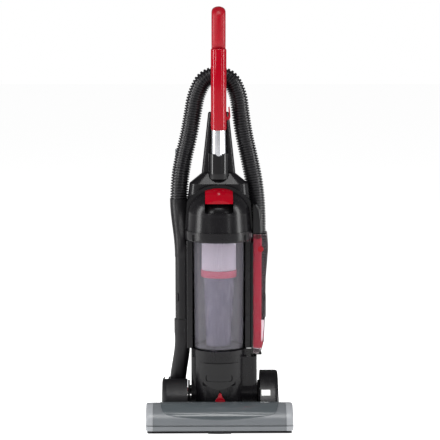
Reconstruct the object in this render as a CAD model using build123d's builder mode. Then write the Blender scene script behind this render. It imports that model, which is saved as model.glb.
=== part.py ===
from build123d import *
import os
from math import cos, sin, radians, tan

os.makedirs("parts", exist_ok=True)

# Upright vacuum cleaner, upright and locked. Millimetres, +Z up, front faces -Y, floor at z = 0.
# The origin is on the floor at the middle of the floor head.

# ---------------------------------------------------------------- driving sizes
wall = 3.0  # moulded wall thickness
gap = 0.5  # gap between separate mouldings
run_gap = 0.05  # radial running clearance of shafts and trunnions

head_width = 390.0  # floor head, side to side
head_front = -172.0  # foremost edge of the floor head
head_rear = -70.0  # rear wall of the nozzle
head_top = 70.0  # highest line of the nozzle hood
cap_width = 19.0  # moulded end cap at each end of the nozzle

pivot_y = 36.0  # recline and motor axis
pivot_z = 76.0
drum_r = 62.0  # motor drum of the body, round the pivot axis
body_left = -75.0  # sides of the lower body
body_right = 103.0
body_rear = 97.0  # flat back of the body
trunnion_r = 12.0

wheel_r = 46.0
wheel_y = 126.0
wheel_width = 26.0
wheel_x = 127.0
axle_r = 4.0
roller_r = 10.0
roller_width = 16.0
roller_y = -88.0
roller_x = 60.0

brush_y = -128.0
brush_z = 26.0
brush_core_r = 15.5
bristle_r = 24.0
motor_pulley_r = 11.0
brush_pulley_r = 13.5
belt_x = 130.0  # middle plane of the belt
belt_width = 11.0
belt_thick = 2.4

bin_y = 14.0  # vertical axis of the dust bin
bin_r = 69.0
bin_bottom = 200.0
bin_top = 493.0
lid_ring_top = 520.0
lid_r = 90.5
lid_top_r = 84.0
lid_crease_z = 563.0  # edge between the side and the dome of the lid
lid_back = 7.5  # back plane of the lid
recess_gap = 2.5  # radial room round the bin in its recess

column_half = 88.0  # half width of the column behind the bin
arch_r = 104.0  # arched front of the upper housing
arch_z = 537.0
tower_top = 834.0

tube_y = 50.0
tube_r = 20.0
socket_bottom = 655.0
socket_top = 724.0
stem_bottom = 786.0
stem_top = 1006.0
stem_width = 42.0
grip_width = 38.0
handle_top = 1119.0

wand_x = -99.0
wand_y = 20.0
wand_r = 19.0
wand_bottom = 277.0
wand_top = 446.0
duct_x = -112.0  # swivel drum and lower tube at the pivot axis
swivel_r = 30.0
duct_w = 44.0
duct_h = 34.0
hose_d = 49.0
cuff_top = 598.0
cuff_x = -107.0
cuff_y = 76.0

port_x = 105.0  # fixed end of the hose
port_y = 98.0
port_top = 330.0

tool_x = -108.0  # crevice tool stored behind the hose
tool_y = 136.0

filter_x = 91.5  # inner face of the side filter cover
filter_out = 132.0
filter_bottom = 184.0
filter_top = 512.0
filter_front = -8.0
filter_rear = 62.0


def save(piece, name):
    piece.part.label = name
    export_step(piece.part, "parts/" + name + ".step")


pivot_line = Plane(origin=(0, pivot_y, pivot_z), x_dir=(0, 1, 0), z_dir=(1, 0, 0))
brush_line = Plane(origin=(0, brush_y, brush_z), x_dir=(0, 1, 0), z_dir=(1, 0, 0))
axle_line = Plane(origin=(0, wheel_y, wheel_r), x_dir=(0, 1, 0), z_dir=(1, 0, 0))
side = Plane.YZ

# ================================================================ floor head
left_wall = body_left - 4.0  # outer faces of the two trunnion walls that face the body
right_wall = body_right + 3.0
wall_thick = 5.0
inner_half = head_width / 2 - cap_width  # half length of the nozzle hood between its end caps
belt_clear = 43.5 + 0.36 * (pivot_z - brush_z)  # height that clears the belt at the back of the hood


# outline of the nozzle from the side, with rounded corners; grow makes it larger all round
def hood_outline(grow):
    with BuildSketch() as outline:
        with BuildLine():
            Polyline(
                (head_front + 4, 8),
                (head_front, 22),
                (head_front + 9, 43),
                (-116, head_top),
                (-82, head_top - 4),
                (head_rear, belt_clear - 5.5),
                (head_rear, 8),
                close=True,
            )
        make_face()
        fillet(outline.vertices().group_by(Axis.Z)[1:], radius=6)
        if grow:
            offset(amount=grow, kind=Kind.INTERSECTION)
    return outline.sketch


# nozzle hood: one profile along the head, 3 mm thick, open below
with BuildPart() as nozzle_hood:
    with BuildSketch(side):
        add(hood_outline(0))
    extrude(amount=inner_half, both=True)
    with BuildSketch(side):
        add(hood_outline(-wall))
    extrude(amount=inner_half - wall, both=True, mode=Mode.SUBTRACT)
    with Locations((0, (head_front + head_rear) / 2, 8)):
        Box(2 * inner_half - 2 * wall, head_rear - head_front - 12, 8, mode=Mode.SUBTRACT)
    # ways through the rear wall for the belt and for the suction duct
    with Locations((belt_x, head_rear, 44)):
        Box(belt_width + 12, 26, 60, mode=Mode.SUBTRACT)
    with Locations((duct_x, head_rear, 30)):
        Box(duct_w + 1, 12, duct_h + 1, mode=Mode.SUBTRACT)
save(nozzle_hood, "nozzle_hood")

# end caps: the same outline, rounded at the outside
with BuildPart() as end_caps:
    for sign in (-1, 1):
        with BuildSketch(side.offset(sign * (inner_half + 0.1))):
            add(hood_outline(0))
        extrude(amount=sign * (cap_width - 0.1))
    for end in (0, -1):
        fillet(end_caps.faces().sort_by(Axis.X)[end].edges(), radius=3.5)
    for sign in (-1, 1):
        with Locations((sign * inner_half, (head_front + head_rear) / 2, 30)):
            Box(2 * cap_width - 10, head_rear - head_front - 28, 36, mode=Mode.SUBTRACT)
save(end_caps, "end_caps")

# boat shaped cover panel let on top of the hood: a skin that follows the hood
panel_half = 152.0
panel_front = head_front + 12.0
panel_rear = head_rear - 6.0
panel_proud = 1.4
with BuildPart() as panel_plan:
    with BuildSketch(Plane.XY.offset(30)):
        with BuildLine():
            Spline(
                (-panel_half, panel_rear - 30),
                (-panel_half * 0.86, panel_front + 28),
                (0, panel_front),
                (panel_half * 0.86, panel_front + 28),
                (panel_half, panel_rear - 30),
                tangents=((0.12, -1), (0.12, 1)),
            )
            Line((panel_half, panel_rear - 30), (panel_half - 2, panel_rear))
            Line((panel_half - 2, panel_rear), (-panel_half + 2, panel_rear))
            Line((-panel_half + 2, panel_rear), (-panel_half, panel_rear - 30))
        make_face()
    extrude(amount=60)
with BuildPart() as top_panel:
    with BuildSketch(side):
        add(hood_outline(panel_proud))
    extrude(amount=panel_half + 2, both=True)
    add(panel_plan.part, mode=Mode.INTERSECT)
    with BuildSketch(side):
        add(hood_outline(0.05))
    extrude(amount=panel_half + 4, both=True, mode=Mode.SUBTRACT)
save(top_panel, "top_panel")

# sole plate of pressed steel with the suction window and two skid strips that rest on the floor
window_half = inner_half - 8
window_front = brush_y - bristle_r + 6
window_rear = brush_y + bristle_r - 6
with BuildPart() as sole_plate:
    with BuildSketch(Plane.XY.offset(2.5)):
        with Locations((0, (head_front + head_rear) / 2)):
            RectangleRounded(head_width - 8, head_rear - head_front - 6, 5)
        with Locations((0, (window_front + window_rear) / 2)):
            RectangleRounded(2 * window_half, window_rear - window_front, 6, mode=Mode.SUBTRACT)
        with Locations((-roller_x, roller_y), (roller_x, roller_y)):
            Rectangle(roller_width + 2, 2 * roller_r - 1, mode=Mode.SUBTRACT)
    extrude(amount=1.3)
    with BuildSketch(Plane.XY):
        with Locations((-130, head_rear - 14), (130, head_rear - 14)):
            RectangleRounded(70, 9, 4)
        with Locations((0, head_front + 8)):
            RectangleRounded(60, 5, 2)
    extrude(amount=2.5)
save(sole_plate, "sole_plate")

# brush roll: grooved core with end journals and its belt pulley, bristle rows as strips
brush_half = inner_half - wall - 10
journal_r = 5.0
belt_zone = (belt_x - belt_width / 2 - 3, belt_x + belt_width / 2 + 3)
with BuildPart() as brush_core:
    with BuildSketch(brush_line.offset(-brush_half)):
        Circle(brush_core_r)
    extrude(amount=brush_half + belt_zone[0])
    with BuildSketch(brush_line.offset(belt_zone[0])):
        Circle(brush_pulley_r)
    extrude(amount=belt_zone[1] - belt_zone[0])
    with BuildSketch(brush_line.offset(belt_zone[1])):
        Circle(brush_core_r)
    extrude(amount=brush_half - belt_zone[1])
    with BuildSketch(brush_line.offset(-brush_half - 9)):
        Circle(journal_r)
    extrude(amount=9)
    with BuildSketch(brush_line.offset(brush_half)):
        Circle(journal_r)
    extrude(amount=9)
save(brush_core, "brush_core")

# one strip of tufts of each row, wound round the core in short steps
strip_count = 8
strip_span = brush_half + belt_zone[0] - 12
strip_step = strip_span / strip_count
with BuildPart() as brush_bristles:
    for row in range(2):
        for step in range(strip_count):
            angle = 180 * row + 22.5 * step
            with BuildSketch(brush_line.offset(-brush_half + 6 + step * strip_step)):
                with PolarLocations((brush_core_r + bristle_r) / 2 + 0.2, 1, start_angle=angle):
                    Rectangle(bristle_r - brush_core_r - 0.4, 4)
            extrude(amount=strip_step - 1)
save(brush_bristles, "brush_bristles")

# plain bearings of the floor head: two for the brush roll, two flush bushings for the trunnions
with BuildPart() as head_bearings:
    for sign in (-1, 1):
        with BuildSketch(brush_line.offset(sign * (brush_half + 1))):
            Circle(journal_r + 7)
            Circle(journal_r + run_gap, mode=Mode.SUBTRACT)
        extrude(amount=sign * 7.5)
    for x0 in (left_wall - wall_thick, right_wall):
        with BuildSketch(pivot_line.offset(x0)):
            Circle(trunnion_r + 3)
            Circle(trunnion_r + run_gap, mode=Mode.SUBTRACT)
        extrude(amount=wall_thick)
save(head_bearings, "head_bearings")

# flat belt from the motor pulley to the brush pulley: a slack outline round both
belt_reach = ((brush_y - pivot_y) ** 2 + (brush_z - pivot_z) ** 2) ** 0.5
belt_plane = Plane(
    origin=(belt_x - belt_width / 2, pivot_y, pivot_z),
    x_dir=(0, brush_y - pivot_y, brush_z - pivot_z),
    z_dir=(1, 0, 0),
)


def belt_outline(grow):
    with BuildSketch() as loop:
        Circle(motor_pulley_r + grow)
        with Locations((belt_reach, 0)):
            Circle(brush_pulley_r + grow)
        make_hull()
    return loop.sketch


with BuildPart() as belt:
    with BuildSketch(belt_plane):
        add(belt_outline(0.1 + belt_thick))
    extrude(amount=belt_width)
    with BuildSketch(belt_plane):
        add(belt_outline(0.1))
    extrude(amount=belt_width, mode=Mode.SUBTRACT)
save(belt, "belt")

# ---------------------------------------------------------------- chassis behind the nozzle
arm_in = 104.0  # inner wheel arm, inboard face
arm_thick = 6.0
deck_top = 9.0
deck_low = 4.0
rear_beam_front = 104.0
rear_beam_back = 150.0
pedal_y = 140.0
pedal_z = 45.0
pedal_x = -70.0
pedal_half = 18.0
pin_r = 2.5
tail = head_rear + 1.0
with BuildPart() as chassis:
    for x0, x1 in ((left_wall - 70, left_wall), (right_wall, right_wall + 54)):
        with Locations(((x0 + x1) / 2, (tail + 78) / 2, (deck_low + deck_top) / 2)):
            Box(x1 - x0, 78 - tail, deck_top - deck_low)
    # trunnion walls with bushing bores
    for x0 in (left_wall - wall_thick, right_wall):
        with BuildSketch(Plane.YZ.offset(x0)):
            with Locations((pivot_y, pivot_z)):
                Circle(26)
            with Locations((20, 40)):
                Rectangle(120, 66)
            make_hull()
        extrude(amount=wall_thick)
        with BuildSketch(Plane.YZ.offset(x0)):
            with Locations((pivot_y, pivot_z)):
                Circle(trunnion_r + 3)
        extrude(amount=wall_thick, mode=Mode.SUBTRACT)
    # wheel arms and rear beam
    for x0 in (-arm_in - arm_thick, arm_in):
        with BuildSketch(Plane.YZ.offset(x0)):
            with Locations((wheel_y, wheel_r)):
                Circle(13)
            with Locations((74, 26)):
                Rectangle(8, 36)
            with Locations((rear_beam_back - 8, 20)):
                Circle(10)
            make_hull()
        extrude(amount=arm_thick)
    with BuildSketch(Plane.YZ.offset(-arm_in)):
        with BuildLine():
            Polyline(
                (rear_beam_front, 10), (rear_beam_front, 30), (rear_beam_front + 8, 34),
                (rear_beam_back, 34), (rear_beam_back, 10), close=True,
            )
        make_face()
    extrude(amount=2 * arm_in)
    with Locations((0, (rear_beam_front + rear_beam_back) / 2, 18)):
        Box(2 * arm_in - 12, rear_beam_back - rear_beam_front - 8, 24, mode=Mode.SUBTRACT)
    # link plates from the trunnion walls out to the wheel arms
    for x0, x1 in ((-arm_in - arm_thick, left_wall), (arm_in, right_wall + wall_thick)):
        with Locations(((x0 + x1) / 2, 76, 26)):
            Box(abs(x1 - x0), 6, 44)
    with BuildSketch(axle_line.offset(-arm_in - arm_thick)):
        Circle(axle_r + run_gap)
    extrude(amount=2 * (arm_in + arm_thick), mode=Mode.SUBTRACT)
    # glide at the front edge, under the middle of the nozzle
    with Locations((0, head_front + 1.8, 4.9)):
        Box(26, 2, 5.8)
    # ears of the recline pedal
    for x0 in (pedal_x - pedal_half - 0.6, pedal_x + pedal_half + 4.6):
        with BuildSketch(Plane.YZ.offset(x0)):
            with Locations((pedal_y, pedal_z)):
                Circle(6)
            with Locations((pedal_y, 36)):
                Rectangle(18, 6)
            make_hull()
            with Locations((pedal_y, pedal_z)):
                Circle(pin_r, mode=Mode.SUBTRACT)
        extrude(amount=-4)
save(chassis, "chassis")

# ---------------------------------------------------------------- hoods, duct, bushings
left_hood_x = (-154.0, left_wall - wall_thick - gap)
right_hood_x = (right_wall + wall_thick + gap, 161.0)
hood_start = head_rear + 0.6
with BuildPart() as left_hood:
    with BuildSketch(Plane.YZ.offset(left_hood_x[0])) as left_side:
        with BuildLine():
            Polyline(
                (hood_start, deck_top + gap), (hood_start, 62), (-34, 108), (-16, 117),
                (40, 112), (76, 84), (76, deck_top + gap), close=True,
            )
        make_face()
        fillet(left_side.vertices().filter_by(lambda v: v.Y > 70), radius=9)
    extrude(amount=left_hood_x[1] - left_hood_x[0])
    fillet(left_hood.faces().sort_by(Axis.X)[0].edges().filter_by(lambda e: e.center().Z > 20), radius=8)
    # the inside, open at the right, at the back and above the swivel drum
    with BuildSketch(Plane.YZ.offset(left_hood_x[0] + wall)):
        with BuildLine():
            Polyline(
                (hood_start + wall, 0), (hood_start + wall, 60), (-32, 104), (-16, 112.6),
                (-12, 130), (100, 130), (100, 0), close=True,
            )
        make_face()
    extrude(amount=left_hood_x[1] - left_hood_x[0], mode=Mode.SUBTRACT)
    # way through the front wall for the suction duct
    with Locations((duct_x, hood_start, 34)):
        Box(47, 12, 50, mode=Mode.SUBTRACT)
save(left_hood, "left_hood")

belt_cover_r = 54.0
with BuildPart() as right_hood:
    with BuildSketch(Plane.YZ.offset(right_hood_x[0])):
        with Locations((pivot_y, pivot_z)):
            Circle(belt_cover_r)
        with Locations((hood_start + 10, belt_clear / 2 + 4.25)):
            Rectangle(20, belt_clear - 8.5)
        make_hull()
        with Locations((0, (deck_top + gap) / 2 - 20)):
            Rectangle(400, deck_top + gap + 40, mode=Mode.SUBTRACT)
    extrude(amount=right_hood_x[1] - right_hood_x[0])
    fillet(right_hood.faces().sort_by(Axis.X)[-1].edges(), radius=6)
    with BuildSketch(Plane.YZ.offset(right_hood_x[0])):
        with Locations((pivot_y, pivot_z)):
            Circle(belt_cover_r - wall)
        with Locations((hood_start + 10 + wall, belt_clear / 2 + 2.25)):
            Rectangle(20, belt_clear - 11.5)
        make_hull()
    extrude(amount=right_hood_x[1] - right_hood_x[0] - wall, mode=Mode.SUBTRACT)
    with Locations((belt_x, hood_start, belt_clear / 2 + 13.25)):
        Box(belt_width + 12, 20, belt_clear - 15.5, mode=Mode.SUBTRACT)
    # wheel arch
    with BuildSketch(axle_line.offset(right_hood_x[0])):
        Circle(wheel_r + 3)
    extrude(amount=wheel_x + wheel_width / 2 + 2 - right_hood_x[0], mode=Mode.SUBTRACT)
save(right_hood, "right_hood")

# suction duct from the nozzle back to the swivel drum
with BuildPart() as suction_duct:
    with Locations((duct_x, (head_rear - 4 + pivot_y - 8) / 2, 30)):
        Box(duct_w, pivot_y - 4 - head_rear, duct_h)
        Box(duct_w - 5, pivot_y + 10 - head_rear, duct_h - 5, mode=Mode.SUBTRACT)
    with BuildSketch(pivot_line.offset(duct_x - duct_w / 2)):
        Circle(swivel_r + gap)
    extrude(amount=duct_w, mode=Mode.SUBTRACT)
save(suction_duct, "suction_duct")

# ---------------------------------------------------------------- wheels and rollers
with BuildPart() as rear_axle:
    with BuildSketch(axle_line.offset(-wheel_x - wheel_width / 2 - 3)):
        Circle(axle_r)
    extrude(amount=2 * wheel_x + wheel_width + 6)
    for sign in (-1, 1):
        with BuildSketch(axle_line.offset(sign * (wheel_x + wheel_width / 2 + 1))):
            Circle(axle_r + 4)
        extrude(amount=sign * 3)
save(rear_axle, "rear_axle")

rim_r = wheel_r - 6
for tag, sign in (("left", -1), ("right", 1)):
    with BuildPart() as wheel:
        with BuildSketch(axle_line.offset(sign * wheel_x)):
            Circle(rim_r)
        extrude(amount=wheel_width / 2, both=True)
        fillet(wheel.edges().filter_by(GeomType.CIRCLE), radius=1)
        # dished outer face with six ribs left standing
        outer_face = axle_line.offset(sign * (wheel_x + wheel_width / 2))
        with BuildSketch(outer_face):
            with PolarLocations(0, 6):
                with Locations((23.5, 0)):
                    Trapezoid(13, 16, 78, rotation=90)
        extrude(amount=-sign * (wheel_width - 6), mode=Mode.SUBTRACT)
        with BuildSketch(axle_line.offset(sign * wheel_x)):
            Circle(axle_r + run_gap)
        extrude(amount=wheel_width, both=True, mode=Mode.SUBTRACT)
    save(wheel, "wheel_" + tag)
    with BuildPart() as tyre:
        with BuildSketch(axle_line.offset(sign * wheel_x)):
            Circle(wheel_r)
            Circle(rim_r, mode=Mode.SUBTRACT)
        extrude(amount=wheel_width / 2 - 1, both=True)
        fillet(tyre.edges().filter_by(GeomType.CIRCLE).sort_by(SortBy.RADIUS)[-2:], radius=2)
    save(tyre, "tyre_" + tag)

# front rollers under the nozzle, on short pins
for tag, sign in (("left", -1), ("right", 1)):
    with BuildPart() as roller:
        with BuildSketch(Plane.YZ.offset(sign * roller_x)):
            with Locations((roller_y, roller_r)):
                Circle(roller_r)
                Circle(pin_r + run_gap, mode=Mode.SUBTRACT)
        extrude(amount=roller_width / 2, both=True)
        fillet(roller.edges().filter_by(GeomType.CIRCLE).sort_by(SortBy.RADIUS)[-2:], radius=1.5)
    save(roller, "roller_" + tag)

# ---------------------------------------------------------------- recline pedal
with BuildPart() as pedal:
    with BuildSketch(Plane.YZ.offset(pedal_x)):
        with Locations((pedal_y, pedal_z)):
            Circle(6)
        with Locations((pedal_y + 27, pedal_z + 5)):
            Circle(3)
        make_hull()
    extrude(amount=pedal_half, both=True)
    with BuildSketch(Plane.YZ.offset(pedal_x)):
        with Locations((pedal_y, pedal_z)):
            Circle(pin_r + run_gap)
    extrude(amount=pedal_half, both=True, mode=Mode.SUBTRACT)
    # grip ribs on the tread
    for step in range(4):
        with Locations((pedal_x, pedal_y + 12 + 4 * step, pedal_z + 7.2 + 0.3 * step)):
            Box(2 * pedal_half - 8, 1.4, 1.6)
    # notch for the return spring
    with Locations((pedal_x, pedal_y, pedal_z)):
        Box(12, 16, 16, mode=Mode.SUBTRACT)
save(pedal, "recline_pedal")

# steel pins of the pedal and of the two front rollers, and the screws under the sole plate
with BuildPart() as pins_and_screws:
    with BuildSketch(Plane.YZ.offset(pedal_x)):
        with Locations((pedal_y, pedal_z)):
            Circle(pin_r)
    extrude(amount=pedal_half + 4.6, both=True)
    for sign in (-1, 1):
        with BuildSketch(Plane.YZ.offset(sign * roller_x)):
            with Locations((roller_y, roller_r)):
                Circle(pin_r)
        extrude(amount=roller_width / 2 + 3, both=True)
    for sign in (-1, 1):
        with Locations((sign * 150, head_front + 14, 2), (sign * 150, head_rear - 26, 2)):
            Cylinder(3, 1)
save(pins_and_screws, "pins_and_screws")

with BuildLine() as coil:
    Helix(pitch=2, height=8, radius=4.2, center=(pedal_x - 4, pedal_y, pedal_z), direction=(1, 0, 0))
with BuildPart() as pedal_spring:
    with BuildSketch(Plane(origin=coil.line @ 0, z_dir=coil.line % 0)):
        Circle(0.7)
    sweep(path=coil.line)
save(pedal_spring, "pedal_spring")

# ================================================================ body: lower housing
shelf_z = 198.0  # top of the lower housing, under the dust bin
front_r = bin_r + 4.0
ledge_z = 178.0
nose_r = 97.0


def lower_form(inset):
    with BuildPart() as nose:
        with BuildSketch(Plane.XY.offset(pivot_z - drum_r + inset)):
            with Locations((0, bin_y)):
                Circle(front_r - inset)
            with Locations((0, pivot_y + 60)):
                Rectangle(2 * front_r, 120, mode=Mode.SUBTRACT)
        extrude(amount=drum_r - inset)
        with BuildSketch(pivot_line.offset(-150)):
            Circle(nose_r - inset)
        extrude(amount=300, mode=Mode.INTERSECT)
    with BuildPart() as form:
        with BuildSketch(pivot_line.offset(body_left + inset)):
            Circle(drum_r - inset)
        extrude(amount=body_right - body_left - 2 * inset)
        with BuildSketch(Plane.XY.offset(pivot_z)):
            with Locations(((body_left + body_right) / 2, (body_rear - 22) / 2)):
                RectangleRounded(body_right - body_left - 2 * inset, body_rear + 22 - 2 * inset, 12 - inset)
        extrude(amount=ledge_z - pivot_z - inset)
        with BuildSketch(Plane.XY.offset(ledge_z - inset - 1)):
            with Locations((0, (body_rear - 10) / 2)):
                Rectangle(2 * (front_r + 2 - inset), body_rear + 10 - 2 * inset)
        extrude(amount=shelf_z - ledge_z + 1)
        with BuildSketch(Plane.XY.offset(pivot_z - 1)):
            with Locations((0, bin_y)):
                Circle(front_r - inset)
        extrude(amount=shelf_z - pivot_z + 1 - inset)
        add(nose.part)
    return form.part


door_half = front_r - 21.0
door_low = 96.0
door_high = 166.0
door_thick = 2.2
can_r = 44.0  # motor can, behind the foam filter
with BuildPart() as lower_housing:
    add(lower_form(0))
    add(lower_form(wall), mode=Mode.SUBTRACT)
    # left trunnion, closed, and right trunnion, bored for the motor shaft
    with BuildSketch(pivot_line.offset(left_wall - wall_thick)):
        Circle(trunnion_r)
    extrude(amount=body_left + 1 - left_wall + wall_thick)
    with BuildSketch(pivot_line.offset(body_right - 1)):
        Circle(trunnion_r)
    extrude(amount=right_wall + wall_thick - body_right + 1)
    with BuildSketch(pivot_line.offset(body_right - wall - 1)):
        Circle(8)
    extrude(amount=30, mode=Mode.SUBTRACT)
    # opening behind the filter door
    with Locations((0, bin_y - front_r, (door_low + door_high) / 2)):
        Box(2 * door_half - 16, 50, door_high - door_low - 16, mode=Mode.SUBTRACT)
    # air inlet from the dust bin through the shelf
    with BuildSketch(Plane.XY.offset(shelf_z - 10)):
        with Locations((0, bin_y)):
            Circle(16)
    extrude(amount=20, mode=Mode.SUBTRACT)
save(lower_housing, "lower_housing")

# curved filter door with a U shaped outline and a finger recess
with BuildPart() as filter_door:
    with BuildSketch(Plane.XY.offset(door_low)):
        with Locations((0, bin_y)):
            Circle(front_r + 0.3 + door_thick + 1.6)
            Circle(front_r + 0.3, mode=Mode.SUBTRACT)
    extrude(amount=door_high - door_low)
    with BuildSketch(Plane.XZ):
        with BuildLine():
            Line((-door_half, door_high), (-door_half, door_low + 32))
            Line((-door_half, door_high), (door_half, door_high))
            Line((door_half, door_high), (door_half, door_low + 32))
            ThreePointArc((door_half, door_low + 32), (0, door_low), (-door_half, door_low + 32))
        make_face()
    extrude(amount=200, mode=Mode.INTERSECT)
    # finger recess: a slice of the outer skin taken back
    with BuildPart(mode=Mode.PRIVATE) as recess:
        with BuildSketch(Plane.XZ):
            with Locations((0, door_low + 30)):
                RectangleRounded(2 * door_half - 32, 18, 6)
        extrude(amount=200)
        with BuildSketch(Plane.XY.offset(door_low)):
            with Locations((0, bin_y)):
                Circle(front_r + 0.3 + 1.6)
        extrude(amount=door_high, mode=Mode.SUBTRACT)
    add(recess.part, mode=Mode.SUBTRACT)
save(filter_door, "filter_door")

with BuildPart() as foam_filter:
    foam_front = bin_y - front_r + 13
    foam_back = pivot_y - can_r - 16
    with Locations((0, (foam_front + foam_back) / 2, (door_low + door_high) / 2)):
        Box(2 * door_half - 20, foam_back - foam_front, door_high - door_low - 20)
    fillet(foam_filter.edges().filter_by(Axis.Y), radius=5)
    with BuildSketch(Plane.XY.offset(door_low)):
        with Locations((0, bin_y)):
            Circle(front_r - 0.5)
    extrude(amount=door_high - door_low, mode=Mode.INTERSECT)
save(foam_filter, "foam_filter")

# ---------------------------------------------------------------- motor and fan
shaft_r = 4.0
can_left = -46.0
can_right = 62.0
bearing_r = 10.0
bearing_width = 7.0
with BuildPart() as motor_can:
    with BuildSketch(pivot_line.offset(can_left)):
        Circle(can_r)
    extrude(amount=can_right - can_left)
    with BuildSketch(pivot_line.offset(can_left + 8)):
        Circle(can_r - 3)
    extrude(amount=can_right - can_left - 16, mode=Mode.SUBTRACT)
    with BuildSketch(pivot_line.offset(can_left - 1)):
        Circle(bearing_r)
    extrude(amount=can_right - can_left + 2, mode=Mode.SUBTRACT)
    # two mounting flanges that seat in the drum
    for x0 in (can_left + 12, can_right - 18):
        with BuildSketch(pivot_line.offset(x0)):
            Circle(drum_r - wall - 0.1)
            Circle(can_r - 1, mode=Mode.SUBTRACT)
        extrude(amount=6)
save(motor_can, "motor_can")

with BuildPart() as motor_bearings:
    for x0 in (can_left, can_right - bearing_width):
        with BuildSketch(pivot_line.offset(x0)):
            Circle(bearing_r)
            Circle(shaft_r + run_gap, mode=Mode.SUBTRACT)
        extrude(amount=bearing_width)
save(motor_bearings, "motor_bearings")

with BuildPart() as motor_rotor:
    with BuildSketch(pivot_line.offset(-68)):
        Circle(shaft_r)
    extrude(amount=belt_x + belt_width / 2 + 4 + 68)
    with BuildSketch(pivot_line.offset(-22)):
        Circle(22)
    extrude(amount=48)
    with BuildSketch(pivot_line.offset(34)):
        Circle(12)
    extrude(amount=14)
    with BuildSketch(pivot_line.offset(belt_x - belt_width / 2 - 1)):
        Circle(motor_pulley_r)
    extrude(amount=belt_width + 2)
save(motor_rotor, "motor_rotor")

with BuildPart() as fan:
    with BuildSketch(pivot_line.offset(-66)):
        Circle(46)
    extrude(amount=2)
    with BuildSketch(pivot_line.offset(-64)):
        with PolarLocations(27, 9):
            Rectangle(34, 2, rotation=25)
        Circle(9)
    extrude(amount=11)
    with BuildSketch(pivot_line.offset(-67)):
        Circle(shaft_r)
    extrude(amount=20, mode=Mode.SUBTRACT)
save(fan, "fan")

# ---------------------------------------------------------------- column behind the dust bin
column_front = -2.0
housing_z = 492.0
recess_r = bin_r + recess_gap


def cuff_path(grow):
    sections = (
        (cuff_x, cuff_y, cuff_top, 25.5),
        (cuff_x + 1.5, cuff_y - 12, cuff_top - 42, 24.5),
        (wand_x - 2, wand_y + 11, wand_top + 56, 21.5),
        (wand_x, wand_y, wand_top, wand_r + 1),
    )
    with BuildPart() as form:
        for x0, y0, z0, r0 in sections:
            with BuildSketch(Plane.XY.offset(z0)):
                with Locations((x0, y0)):
                    Circle(r0 + grow)
        loft()
    return form.part


with BuildPart() as column:
    with BuildSketch(Plane.XY.offset(shelf_z + 0.2)) as column_plan:
        with Locations((0, (column_front + body_rear) / 2)):
            Rectangle(2 * column_half, body_rear - column_front)
        fillet(column_plan.vertices().group_by(Axis.Y)[-1], radius=35)
        fillet(column_plan.vertices().group_by(Axis.Y)[0], radius=5)
    extrude(amount=housing_z - shelf_z - 0.4)
    # hollow of the column
    with BuildSketch(Plane.XY.offset(shelf_z + 0.2 + wall)) as column_inner:
        with Locations((0, (column_front + body_rear) / 2)):
            Rectangle(2 * (column_half - wall), body_rear - column_front - 2 * wall)
        fillet(column_inner.vertices().group_by(Axis.Y)[-1], radius=35 - wall)
        with Locations((0, bin_y)):
            Circle(recess_r + wall, mode=Mode.SUBTRACT)
        with Locations((0, bin_y - 50)):
            Rectangle(2 * column_half, 100 + 40, mode=Mode.SUBTRACT)
    extrude(amount=housing_z - shelf_z - 0.4 - 2 * wall, mode=Mode.SUBTRACT)
    # recess for the bin and groove for the wand
    with BuildSketch(Plane.XY.offset(shelf_z)):
        with Locations((0, bin_y)):
            Circle(recess_r)
        with Locations((0, bin_y - 50)):
            Rectangle(2 * recess_r, 100)
        with Locations((wand_x, wand_y)):
            Circle(wand_r + 4.5)
    extrude(amount=housing_z - shelf_z, mode=Mode.SUBTRACT)
    add(cuff_path(1.5), mode=Mode.SUBTRACT)
    # ring that holds the crevice tool
    with BuildSketch(Plane.XY.offset(468)):
        with BuildLine():
            Polyline(
                (-44, body_rear - 1), (-44, body_rear + 6), (-92, 147), (-122, 149), (-122, 123),
                (-96, 123), (-62, body_rear - 1), close=True,
            )
        make_face()
        with Locations((tool_x, tool_y)):
            RectangleRounded(18, 15, 5, mode=Mode.SUBTRACT)
    extrude(amount=20)
    # inlet collar of the supply cord
    with BuildSketch(Plane.XZ.offset(-body_rear + 1)):
        with Locations((-40, 262)):
            Circle(10)
    extrude(amount=-7)
    with BuildSketch(Plane.XZ.offset(-body_rear - 6)):
        with Locations((-40, 262)):
            Circle(7)
    extrude(amount=-9)
    with BuildSketch(Plane.XZ.offset(-body_rear + 4)):
        with Locations((-40, 262)):
            Circle(4)
    extrude(amount=-20, mode=Mode.SUBTRACT)
save(column, "column")

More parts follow.
